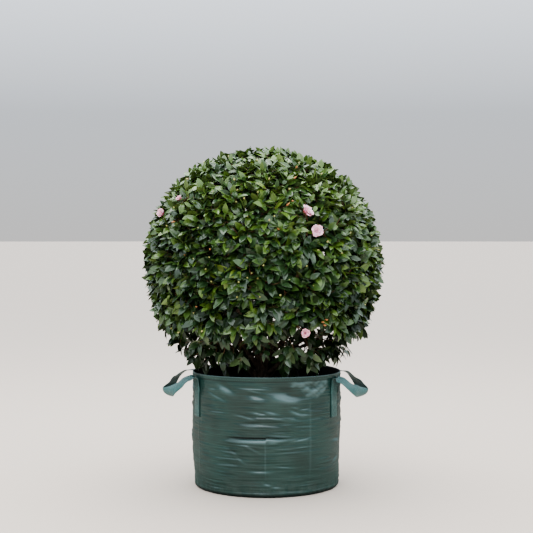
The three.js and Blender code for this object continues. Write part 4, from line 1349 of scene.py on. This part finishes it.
def thinned(points, share, seed):
    """Takes out a share of the points near the ball's foot and none higher up, mostly in patches."""
    luck = np.random.default_rng(seed).uniform(0, 1, len(points))
    patch = smoothstep(crumple(points, 10, OPEN_PATCH, 19), -0.5, 0.5)
    return points[luck > share * 1.5 * patch * (1 - smoothstep(points[:, 2], *OPEN_BELOW))]


def swollen(points):
    """Moves the points of a round shell out to the clipped outline's own shape."""
    off = points - CROWN
    return CROWN + off * (outline(unit(off)) / CROWN_RADIUS)[:, None]


leader_tip, leader_way, _ = stems_from(BOUGHS[:1], 0)
main_tips, main_ways, main_heads = stems_from(BOUGHS[1:7], HEAD_REACH)
ball_stems = {
    "root": np.concatenate([leader_tip, main_tips]),
    "tip": np.concatenate([CROWN[None], main_heads]),
    "leave": np.concatenate([leader_way, main_ways]),
}
ball_stems["along"] = unit(ball_stems["tip"] - ball_stems["root"])
shells = [even_points(*shell) for shell in BALL_SHELLS]
shells = [points[points[:, 2] > BALL_FOOT] for points in shells]
for i, share in enumerate(THINNED):
    shells[3 + i] = thinned(swollen(shells[3 + i]), share, 27 + i)
ball_limbs, ball_branches, ball_twigs, ball_twiglets, ball_inner, ball_sprays = grow(ball_stems, shells)
print("ball sprays:", len(ball_sprays["tip"]), "inner sprays:", len(ball_inner["tip"]))

# %% The skirt's shoots
# Each shell, as in the ball. The first two are the solids' own.
SKIRT_SHELLS = [(120, 0.318, 0.14, 21), (360, 0.350, 0.2, 22), (1000, 0.400, 0.13, 26)]
SKIRT_THINNED = 0.55
SKIRT_LOOSE = 1.03  # the loose lower sprays hang a little outside the clipped ball
TRUNK_WINDOW = (0.055, 0.52)  # how wide and how high the skirt stands open in front of the trunk


def skirt_part(plan):
    """One sixth of the skirt: the points of each shell that lie over this bough and under the ball."""
    _, azimuth, line, _, arrive = plan
    foot = bezier(line, 1.0)
    head = foot + heading(azimuth) * SKIRT_STEM[0] + UP * SKIRT_STEM[1]
    stem = {"root": foot[None], "tip": head[None], "along": unit(head - foot)[None], "leave": arrive[None]}
    half = math.pi / 6
    walls = np.array([np.cross(UP, heading(azimuth + half)), np.cross(heading(azimuth - half), UP)])
    chosen = []
    for shell in SKIRT_SHELLS:
        finest = shell is SKIRT_SHELLS[-1]
        points = swollen(even_points(*shell)) if finest else even_points(*shell)
        off = points - np.array([TRUNK_X, 0, 0])
        inside = ((off @ walls.T) <= -0.004).all(1) & (np.hypot(off[:, 0], off[:, 1]) >= SKIRT_BARE)
        points = points[inside & (points[:, 2] < SKIRT_TOP) & (points[:, 2] > SKIRT_FOOT + 0.02)]
        if finest:
            points = thinned(points, SKIRT_THINNED, 29)
            window = (np.abs(points[:, 0] - TRUNK_X) < TRUNK_WINDOW[0]) & (points[:, 1] < 0)
            points = points[~(window & (points[:, 2] < TRUNK_WINDOW[1]))]
        chosen.append(points)
    return [stem, *grow(stem, chosen)]


skirts = [gathered(level) for level in zip(*[skirt_part(plan) for plan in BOUGHS[7:]])]
skirt_stems, skirt_branches, skirt_twigs, skirt_sprays = skirts
print("skirt sprays:", len(skirt_sprays["tip"]))

# %% [markdown]
# Wood first: each shoot is a thin tube that leaves its parent the way the parent points and bends over
# to its own tip. The stretch beyond the solids' boughs is one piece in bark, and the young twigs are
# another, because on a camellia this year's wood is red-brown and last year's is grey.

# %% Twigs


def shoot_tubes(shoots, thick, thin, sides=5, rings=4, bend=0.35):
    """A quadratic Bezier for each shoot, at its root's place, whose radius falls evenly to its tip."""
    reach = np.linalg.norm(shoots["tip"] - shoots["root"], axis=1, keepdims=True)
    middle = shoots["root"] + shoots["leave"] * reach * bend
    t = np.linspace(0, 1, rings)
    lines = np.stack([bezier([shoots["root"], middle, shoots["tip"]], np.full(len(reach), x)) for x in t], 1)
    radii = np.tile(lerp(thick, thin, t), (len(reach), 1))
    return tubes(lines, radii, sides, SLANT)


old_wood = joined(
    shoot_tubes(ball_stems, 0.0085, 0.007, 12, 8),
    shoot_tubes(skirt_stems, 0.0066, 0.006, 10, 6),
    shoot_tubes(ball_limbs, 0.0065, 0.0048, 10, 8),
    shoot_tubes(ball_branches, 0.0045, 0.0034, 8, 6),
    shoot_tubes(skirt_branches, 0.0036, 0.0026, 7, 6),
)
young_wood = joined(
    shoot_tubes(ball_twigs, 0.0029, 0.0021, 6, 5),
    shoot_tubes(ball_twiglets, 0.0019, 0.0014),
    shoot_tubes(ball_inner, 0.0016, 0.0011),
    shoot_tubes(ball_sprays, 0.0014, 0.0009),
    shoot_tubes(skirt_twigs, 0.0022, 0.0015, 6, 5),
    shoot_tubes(skirt_sprays, 0.0014, 0.0009),
)
MASSES = ["ball_foliage"] + [f"skirt_foliage_{i + 1}" for i in range(6)]
TWIG = bark_finish("young_twig", (0.060, 0.028, 0.014), (0.17, 0.085, 0.040), (0.13, 0.14, 0.05))
piece("branches", old_wood, BARK)
piece("twigs", young_wood, TWIG, MASSES)

# %% [markdown]
# A leaf is a blade of forty triangles: a point at the stalk, five rows of five, and a drawn-out tip. Its
# outline is a product of two powers, which puts the widest place a little before the middle. The blade
# folds along its midrib, each half is slightly domed, and the whole leaf curls and twists. Those bends
# are what break the sky's reflection into the small bright strips that make foliage look glossy.

# %% One leaf's template
LEAF_ROWS = np.array([0.13, 0.28, 0.46, 0.65, 0.84])
LEAF_COLUMNS = np.array([-1.0, -0.5, 0.0, 0.5, 1.0])
LEAF_WIDEST = 0.44
LEAF_STALK = 0.09  # the share of the length that is stalk
LEAF_LEVEL = 0.6  # how much of its rise or fall a leaf keeps beside its shoot, because blades turn level
SMALL_ABOVE = (0.78, 1.12)  # heights between which the leaves grow smaller and stand more upright
SMALLER = 0.18  # the share of its length that a leaf at the top lacks
UPRIGHT = 0.25  # the share of its lean that it lacks
LOW_DROOP = 1.6  # how much more the lowest leaves droop
DROOP_BELOW = (0.60, 0.80)  # heights between which they do
YOUNGEST = 0.78  # the youngest leaf's length over the others'
FACE_OUT, FACE_UP = 0.85, 0.65  # how much a leaf faces out of the crown and up
LEAF_DOME = 0.16  # how high each half of the blade bulges, over the half width
CLIP_SHAKE = 0.005  # how unevenly the shears have cut


def half_width(u):
    """Half the blade's width at a share of its length, 1 at its widest: t^a (1 - t)^b, scaled."""
    t = np.clip((u - LEAF_STALK) / (1 - LEAF_STALK), 0, 1)
    a = 0.72
    b = a * (1 - LEAF_WIDEST) / LEAF_WIDEST
    return t**a * (1 - t) ** b / (LEAF_WIDEST**a * (1 - LEAF_WIDEST) ** b)


def leaf_template():
    """u along, v across and the half width there, for the stalk's root, the rows and the tip."""
    u, v = np.meshgrid(LEAF_ROWS, LEAF_COLUMNS, indexing="ij")
    u = np.concatenate([[0], u.ravel(), [1]])
    v = np.concatenate([[0], v.ravel(), [0]])
    n = len(LEAF_COLUMNS)
    body = grid_triangles(len(LEAF_ROWS), n) + 1
    c = np.arange(n - 1) + 1
    root = np.stack([np.zeros(n - 1, int), c, c + 1], -1)
    last = (len(LEAF_ROWS) - 1) * n
    tip = np.stack([c + last, np.full(n - 1, len(u) - 1), c + last + 1], -1)
    return u, v, np.concatenate([body[:, ::-1], root[:, ::-1], tip])


LEAF_U, LEAF_V, LEAF_FACES = leaf_template()


def blades(root, along, face, length, width, fold, curl, twist):
    """Many leaves at once. Each argument has one row for each leaf.

    A point of the blade lies u lengths along, v half widths across, and off the blade's plane by the
    fold times its distance from the midrib, plus a small dome, less the curl times u squared."""
    normal = unit(face - (face * along).sum(-1, keepdims=True) * along)
    across = np.cross(normal, along)
    u, v = LEAF_U[None], LEAF_V[None]
    half = half_width(LEAF_U)[None] * (width * length)[:, None] / 2
    y = v * half
    dome = LEAF_DOME * half * (1 - (2 * np.abs(v) - 1) ** 2) * (np.abs(v) < 1)
    z = fold[:, None] * np.abs(y) + dome
    turn = twist[:, None] * u
    y, z = y * np.cos(turn) - z * np.sin(turn), y * np.sin(turn) + z * np.cos(turn)
    bent = curl[:, None] * u
    x = length[:, None] * u * (1 - bent**2 / 6)
    z = z - length[:, None] * u * bent / 2
    return (root[:, None] + x[..., None] * along[:, None] + y[..., None] * across[:, None]
            + z[..., None] * normal[:, None])


# %% [markdown]
# Leaves stand round a shoot a golden angle apart, the youngest nearest the tip and steepest. Each one
# droops a little, and turns its face out and up, towards the light. Shears have cut the ball, so
# a leaf that would reach past the crown's outline sits that much further in.

# %% Leaves on shoots


def leaves_on(shoots, count, step, size, spread, droop, seed, loose=1.0, toss=0.30, slim=1.0):
    """The leaves of every shoot, as arrays with one row for each leaf, and each leaf's shoot.

    step is the distance between leaves along a shoot. size and spread are ranges: the leaves' lengths,
    and how many degrees the first and the last lean off the shoot. toss shakes the faces."""
    draws = np.random.default_rng(seed)
    n = len(shoots["tip"])
    j = np.tile(np.arange(count), (n, 1))
    tip, along = shoots["tip"][:, None], shoots["along"][:, None]
    root = tip - along * (step * (j + 0.2))[..., None]
    e1, e2 = square_to(along, SLANT)
    turn = draws.uniform(0, 2 * math.pi, (n, 1)) + j * GOLDEN_ANGLE + draws.normal(0, 0.25, j.shape)
    high = smoothstep(tip[..., 2], *SMALL_ABOVE)
    lean = np.radians(lerp(spread[0], spread[1], j / max(count - 1, 1)) + draws.normal(0, 9, j.shape))
    lean = lean * (1 - UPRIGHT * high)
    around = e1 * np.sin(turn)[..., None] + e2 * np.cos(turn)[..., None]
    way = along * np.cos(lean)[..., None] + around * [1, 1, LEAF_LEVEL] * np.sin(lean)[..., None]
    low = 1 + LOW_DROOP * (1 - smoothstep(root[..., 2], *DROOP_BELOW))
    way = unit(way - UP * (droop * low * draws.uniform(0.4, 1.6, j.shape))[..., None])
    length = lerp(size[0], size[1], draws.uniform(0, 1, j.shape)) * np.where(j == 0, YOUNGEST, 1)
    length = length * (1 - SMALLER * high)
    light = unit(root - CROWN)
    light[..., 2] = np.maximum(light[..., 2], -0.15)
    face = unit(light * FACE_OUT + UP * FACE_UP + draws.normal(0, toss, light.shape))
    end = root + way * length[..., None]
    out = unit(end - CROWN)
    edge = outline(out) * loose + draws.normal(0, CLIP_SHAKE, j.shape)
    over = np.linalg.norm(end - CROWN, axis=-1) - edge
    root = root - out * np.maximum(over, 0)[..., None]
    owner = np.tile(np.arange(n)[:, None], (1, count))
    wide = draws.uniform(0.42, 0.52, j.shape) * slim
    return {
        "root": root.reshape(-1, 3), "along": way.reshape(-1, 3), "face": face.reshape(-1, 3),
        "length": length.ravel(), "width": wide.ravel(), "fold": draws.uniform(0.10, 0.42, j.size),
        "curl": draws.normal(0.35, 0.25, j.size), "twist": draws.normal(0, 0.35, j.size),
        "owner": owner.ravel(),
    }


SKIRT_WAYS = {"loose": SKIRT_LOOSE, "toss": 0.60, "slim": 0.88}
ball_leaves = leaves_on(ball_sprays, 6, 0.0080, (0.052, 0.072), (32, 80), 0.20, 61, toss=0.42, slim=0.93)
twig_leaves = leaves_on(ball_twiglets, 4, 0.012, (0.052, 0.068), (60, 85), 0.25, 62)
inner_leaves = leaves_on(ball_inner, 3, 0.012, (0.052, 0.068), (60, 90), 0.25, 63)
skirt_leaves = leaves_on(skirt_sprays, 5, 0.010, (0.048, 0.066), (40, 85), 0.20, 64, **SKIRT_WAYS)
hanging_leaves = leaves_on(skirt_twigs, 1, 0.014, (0.050, 0.066), (40, 75), 0.3, 65, **SKIRT_WAYS)

# %% [markdown]
# The blooms sit in the outline, facing out, with the leaves in front of them taken out. Where each
# one is, how wide it is and how far it has opened are chosen to match the photo at the front; the back
# has a few more like them. Azimuth runs from the front to the right, elevation up from level.

# %% Where the blooms and buds are
# azimuth, elevation, width in metres, how far open from 0 to 1, how deep a pink from 0 to 1, and how many
# degrees it has turned to the right and up from facing straight out
BLOOMS = [
    (21.7, 24.0, 0.056, 0.95, 0.15, 36, 10),
    (25.7, 15.0, 0.054, 0.85, 0.2, -16, -8),
    (-65.5, 24.0, 0.046, 0.60, 0.1, 30, -8),
    (-52.5, 31.5, 0.030, 0.30, 0.1, 10, 10),
    (118, 31, 0.050, 0.9, 0.2, 8, -6),
    (171, 8, 0.052, 1.0, 0.15, -10, 4),
    (232, 36, 0.048, 0.8, 0.3, 12, -14),
    (22.0, -31.4, 0.044, 0.65, 0.7, -16, 22),
]
BLOOM_SUNK = 0.012
BLOOM_CLEAR = 0.62  # how far from a bloom's middle, over its width, no leaf stands in front of it
BLOOM_CLEAR_DEPTH = 0.045


def direction(azimuth, elevation):
    """A unit vector by its azimuth from the front and its elevation, in degrees."""
    a, e = np.radians(azimuth), np.radians(elevation)
    return np.stack([np.sin(a) * np.cos(e), -np.cos(a) * np.cos(e), np.sin(e) + 0 * a], -1)


def clear_of_blooms(leaves):
    """The leaves whose blades don't stand in front of a bloom."""
    middle = leaves["root"] + leaves["along"] * leaves["length"][:, None] * 0.55
    keep = np.ones(len(middle), bool)
    for azimuth, elevation, width, *_ in BLOOMS:
        face = direction(azimuth, elevation)
        off = middle - CROWN
        depth = off @ face
        aside = np.linalg.norm(off - depth[:, None] * face, axis=1)
        keep &= ~((aside < width * BLOOM_CLEAR) & (depth > outline(face) - BLOOM_CLEAR_DEPTH))
    return {key: value[keep] for key, value in leaves.items()}


# %% [markdown]
# Leaf colours are dealt out by spray, because a camellia's young sprays are all one fresh green and its
# old ones all one deep green. The inner and lower leaves are dealt darker greens, partly for their age and
# partly as painted shade, and the darkest green, shade, is painted shade for the depth inside the crown.
# The top is dealt lighter greens, partly as fresher growth and partly as painted light from the sky. Each
# green is a piece of its own with a plain colour that drifts only a little, and a paler, duller
# underside. A waxy coat gives the gloss.

# %% Leaf finishes


def leaf_finish(name, gloss, deep, fresh, under):
    wax = {"Specular_IOR_Level": 0.44 * gloss, "Coat_Weight": 0.31 * gloss, "Coat_Roughness": 0.13}
    finish = Finish(name, Roughness=0.34, **wax)
    drift = finish.noise(finish.place(), 38, 2)
    upper = finish.mix(drift.above(0.5, 0.4), deep, fresh)
    back = finish.node("NewGeometry", output="Backfacing")
    finish.feed("Base Color", finish.mix(back, upper, under))
    return finish


# Each green: its share of the sprays, its gloss, its two tints and its underside.
GREENS = {
    # shade is painted shade: darker than a real leaf, dealt mostly to the inner leaves to darken the crown's
    # depths.
    "shade": (0.14, 0.4, (0.006, 0.016, 0.005), (0.010, 0.024, 0.007), (0.024, 0.042, 0.015)),
    "deep": (0.15, 0.9, (0.014, 0.035, 0.011), (0.022, 0.051, 0.015), (0.062, 0.100, 0.036)),
    "dark": (0.17, 1.0, (0.021, 0.049, 0.017), (0.033, 0.071, 0.023), (0.080, 0.126, 0.047)),
    "plain": (0.18, 1.0, (0.029, 0.064, 0.015), (0.044, 0.090, 0.020), (0.094, 0.146, 0.046)),
    "mid": (0.22, 1.0, (0.042, 0.087, 0.018), (0.062, 0.117, 0.024), (0.114, 0.174, 0.052)),
    "fresh": (0.12, 1.0, (0.070, 0.130, 0.022), (0.102, 0.174, 0.031), (0.146, 0.218, 0.058)),
    "lime": (0.02, 1.0, (0.112, 0.174, 0.027), (0.156, 0.222, 0.038), (0.182, 0.258, 0.068)),
}
STRAY = 0.3  # the share of leaves that don't match their own spray
SUNNY = 0.42  # how much lighter the crown's top is dealt: partly fresher growth, partly painted light from the sky
SUNNY_ABOVE = (0.74, 1.16)  # heights between which the top is dealt lighter


def dealt(leaves, seed, age_and_painted_shade=0.0):
    """Gives each leaf the number of its spray's green. Groups that are older and lie in shade are dealt
    fewer fresh greens, partly for their age and partly as painted shade, and the top more, partly as
    fresher growth and partly as painted light."""
    draws = np.random.default_rng(seed)
    luck = draws.uniform(0, 1, leaves["owner"].max() + 1) * (1 - age_and_painted_shade)
    stray = draws.uniform(0, 1, len(leaves["owner"])) < STRAY
    own = np.where(stray, draws.uniform(0, 1, len(stray)) * (1 - age_and_painted_shade), luck[leaves["owner"]] * 0.985)
    edges = np.cumsum([share for share, *_ in GREENS.values()])[:-1]
    sunny = np.minimum(own + SUNNY * smoothstep(leaves["root"][:, 2], *SUNNY_ABOVE), edges[-1])
    leaves["green"] = np.searchsorted(edges, np.where(own < edges[-1], sunny, own))
    return leaves


# The last number darkens a group, partly for age and partly as painted shade on the inner, twig and skirt
# leaves.
crown_leaves = clear_of_blooms(gathered([
    dealt(ball_leaves, 71), dealt(twig_leaves, 72, 0.65), dealt(inner_leaves, 73, 0.85),
    dealt(skirt_leaves, 74, 0.6), dealt(hanging_leaves, 75, 0.75),
]))
print("leaves:", len(crown_leaves["green"]))
BLADE_KEYS = ("root", "along", "face", "length", "width", "fold", "curl", "twist")
for number, (name, (_, *looks)) in enumerate(GREENS.items()):
    mine = crown_leaves["green"] == number
    shape = copies(blades(*[crown_leaves[key][mine] for key in BLADE_KEYS]), LEAF_FACES)
    piece(f"leaves_{name}", shape, leaf_finish(f"leaf_{name}", *looks), MASSES)

# %% [markdown]
# A camellia bloom is whorls of overlapping petals. Each petal is a small grid: u runs from its base to
# its rim and v across. Its middle line bends outwards more and more, its sides cup inwards, and its rim
# has a shallow notch. Inner whorls are shorter and stand up, outer ones lie open.

# %% Petals
PETAL_ROWS = 7
PETAL_COLUMNS = 7
PETALS = 34
PETAL_REACH = (0.50, 1.12)  # the innermost and the outermost petal's length over the bloom's half width
INNER_TILT = 0.12  # how far the innermost petals lean out, in radians
OUTER_TILT = (0.55, 1.40)  # the same for the outermost, on a closed and on an open bloom
PETAL_WIDE = 0.60  # half a petal's width over its length
PETAL_CUP = 0.34  # how far its sides stand in, over its half width
PETAL_NOTCH = 0.10  # how deep the notch in its rim is, over its length
PETAL_FRILL = 0.0022  # how high its rim waves


def bloom_petals(width, opened, seed):
    """All petals of one bloom, which faces up and has its middle at the origin."""
    draws = np.random.default_rng(seed)
    k = np.arange(PETALS)
    share = ((k + 1) / PETALS) ** 0.8  # 0 at the middle and 1 at the outermost petal
    around = k * GOLDEN_ANGLE + draws.normal(0, 0.12, PETALS)
    reach = width / 2 * lerp(*PETAL_REACH, share) * draws.uniform(0.86, 1.10, PETALS)
    tilt = lerp(INNER_TILT, lerp(*OUTER_TILT, opened), share**1.3) + draws.normal(0, 0.13, PETALS)
    u = np.linspace(0, 1, PETAL_ROWS)
    v = np.linspace(-1, 1, PETAL_COLUMNS)
    bend = tilt[:, None] * (0.35 + 0.75 * u[None, :])
    step = (reach / (PETAL_ROWS - 1))[:, None]
    out = np.cumsum(np.sin(bend) * step, 1) - np.sin(bend[:, :1]) * step
    rise = np.cumsum(np.cos(bend) * step, 1) - np.cos(bend[:, :1]) * step
    half = (reach * PETAL_WIDE)[:, None] * np.sin(np.pi * np.clip(0.16 + 0.66 * u, 0, 1)) ** 0.9
    notch = 1 - PETAL_NOTCH * np.exp(-((v / 0.25) ** 2)) - 0.30 * np.abs(v) ** 3
    y = half[:, :, None] * v
    pull = 1 + (notch - 1)[None, None, :] * u[None, :, None] ** 2
    cup = PETAL_CUP * half[:, :, None] * v**2
    x = out[:, :, None] * pull - cup * np.cos(bend)[:, :, None]
    z = rise[:, :, None] * pull + cup * np.sin(bend)[:, :, None]
    z = z + PETAL_FRILL * np.sin(v * 4.5 + around[:, None, None] * 5) * u[None, :, None] ** 2
    c, s = np.cos(around)[:, None, None], np.sin(around)[:, None, None]
    points = np.stack([x * c - y * s, x * s + y * c, z - 0.25 * width * lerp(0.9, 0.35, opened)], -1)
    return points.reshape(PETALS, -1, 3)


def turned_to(points, face, centre):
    """Turns +Z to a direction and moves the origin to a place."""
    return centre + points @ np.stack([*square_to(face, np.array([0.2, 0.3, 0.93])), face])


def petal_finish(name, heart, rim):
    """Deeper at the petal's base, with faint veins, and almost white at its rim."""
    finish = Finish(name, Roughness=0.5, Subsurface_Weight=0.15, Subsurface_Scale=0.004)
    vein = finish.noise(finish.stretched(finish.lay(), (3, 40, 1)), 1.0, 2)
    share = (finish.split(finish.lay())[0] + (vein - 0.5) * 0.5).above(0.45, 0.9)
    finish.feed("Base Color", finish.mix(share, heart, rim))
    return finish


petal_faces = grid_triangles(PETAL_ROWS, PETAL_COLUMNS)[:, ::-1]
petal_corners = grid_corners(PETAL_ROWS, PETAL_COLUMNS)[:, ::-1] / [PETAL_ROWS - 1, PETAL_COLUMNS - 1]
PINKS = {"pale": ((0.88, 0.30, 0.42), (0.97, 0.62, 0.72)), "deep": ((0.68, 0.14, 0.24), (0.93, 0.52, 0.60))}
for pink, looks in PINKS.items():
    petals = []
    for i, (azimuth, elevation, width, opened, depth, turned, raised) in enumerate(BLOOMS):
        if (depth > 0.5) == (pink == "deep"):
            out = direction(azimuth, elevation)
            face = direction(azimuth + turned, elevation + raised)
            centre = CROWN + out * (outline(out) - BLOOM_SUNK)
            petals.append(turned_to(bloom_petals(width, opened, 80 + i), face, centre))
    shape = copies(np.concatenate(petals), petal_faces)
    marks = np.tile(petal_corners, (len(petals) * PETALS, 1, 1))
    piece(f"petals_{pink}", shape, petal_finish(f"petal_{pink}", *looks), marks=marks)

# %% [markdown]
# Flower buds sit among the leaves all over the crown: small eggs wrapped in scales, cream to green, some
# already tipped with salmon. A bud is a profile turned round its axis. The ones that the photo shows
# clearly are listed one by one, and the rest placed by a seed.

# %% Buds
# The azimuth and elevation of those listed one by one.
FRONT_BUDS = [
    (-7, -6), (-24, -8), (-5, -4), (-33, 2), (-25, 3), (-52, -33), (-11, -8), (-12, -15), (12, -7),
    (3, 20), (31, 10), (38, 1), (20, -1), (-18, 42), (-10, 31), (46, 14), (8, -14), (52, -4),
]
ORANGE_BUDS = [(31, -27), (33, -26), (32.5, -28.5), (-34, -20)]
BUD_RINGS = np.array([0.0, 0.12, 0.30, 0.50, 0.70, 0.88, 1.0])
BUD_GIRTH = np.array([0.30, 0.72, 1.0, 0.98, 0.68, 0.34, 0.06])
BUD_SIDES = 7
BUD_WIDE = 0.30  # half a bud's width over its length
BUD_SUNK = 0.020
BUD_OUT = 0.008  # how far a seeded bud sits beyond its spray's tip


def buds(seeded, placed, length, wide):
    """Closed eggs: rings along the facing direction, with the last ring near a pointed tip."""
    where, facing = [np.concatenate(pair) for pair in zip(seeded, placed)]
    length = size_draws.uniform(*length, len(where))[:, None]
    lines = where[:, None] + facing[:, None] * (BUD_RINGS * length)[..., None]
    return tubes(lines, BUD_GIRTH * length * wide, BUD_SIDES, SLANT)


def bud_finish(name, low, high):
    finish = Finish(name, Roughness=0.42, Coat_Weight=0.1)
    finish.feed("Base Color", finish.mix(finish.noise(finish.place(), 160, 2), low, high))
    return finish


def seeded_buds(count, seed):
    """Places and facings at the tips of chosen sprays."""
    draws = np.random.default_rng(seed)
    chosen = draws.choice(len(ball_sprays["tip"]), count, replace=False)
    tips = ball_sprays["tip"][chosen]
    out = unit(tips - CROWN)
    return tips + out * BUD_OUT, unit(ball_sprays["along"][chosen] + out + draws.normal(0, 0.3, out.shape))


def placed_buds(places):
    out = direction(*np.array(places, float).T)
    return CROWN + out * (outline(out) - BUD_SUNK)[:, None], unit(out + UP * 0.4)


size_draws = np.random.default_rng(93)
cream = buds(seeded_buds(90, 91), placed_buds(FRONT_BUDS), (0.009, 0.013), BUD_WIDE)
salmon = buds(seeded_buds(26, 92), placed_buds(ORANGE_BUDS), (0.012, 0.020), BUD_WIDE * 0.6)
piece("buds_cream", cream, bud_finish("bud_cream", (0.24, 0.29, 0.06), (0.66, 0.56, 0.26)))
piece("buds_salmon", salmon, bud_finish("bud_salmon", (0.50, 0.17, 0.06), (0.70, 0.34, 0.16)))
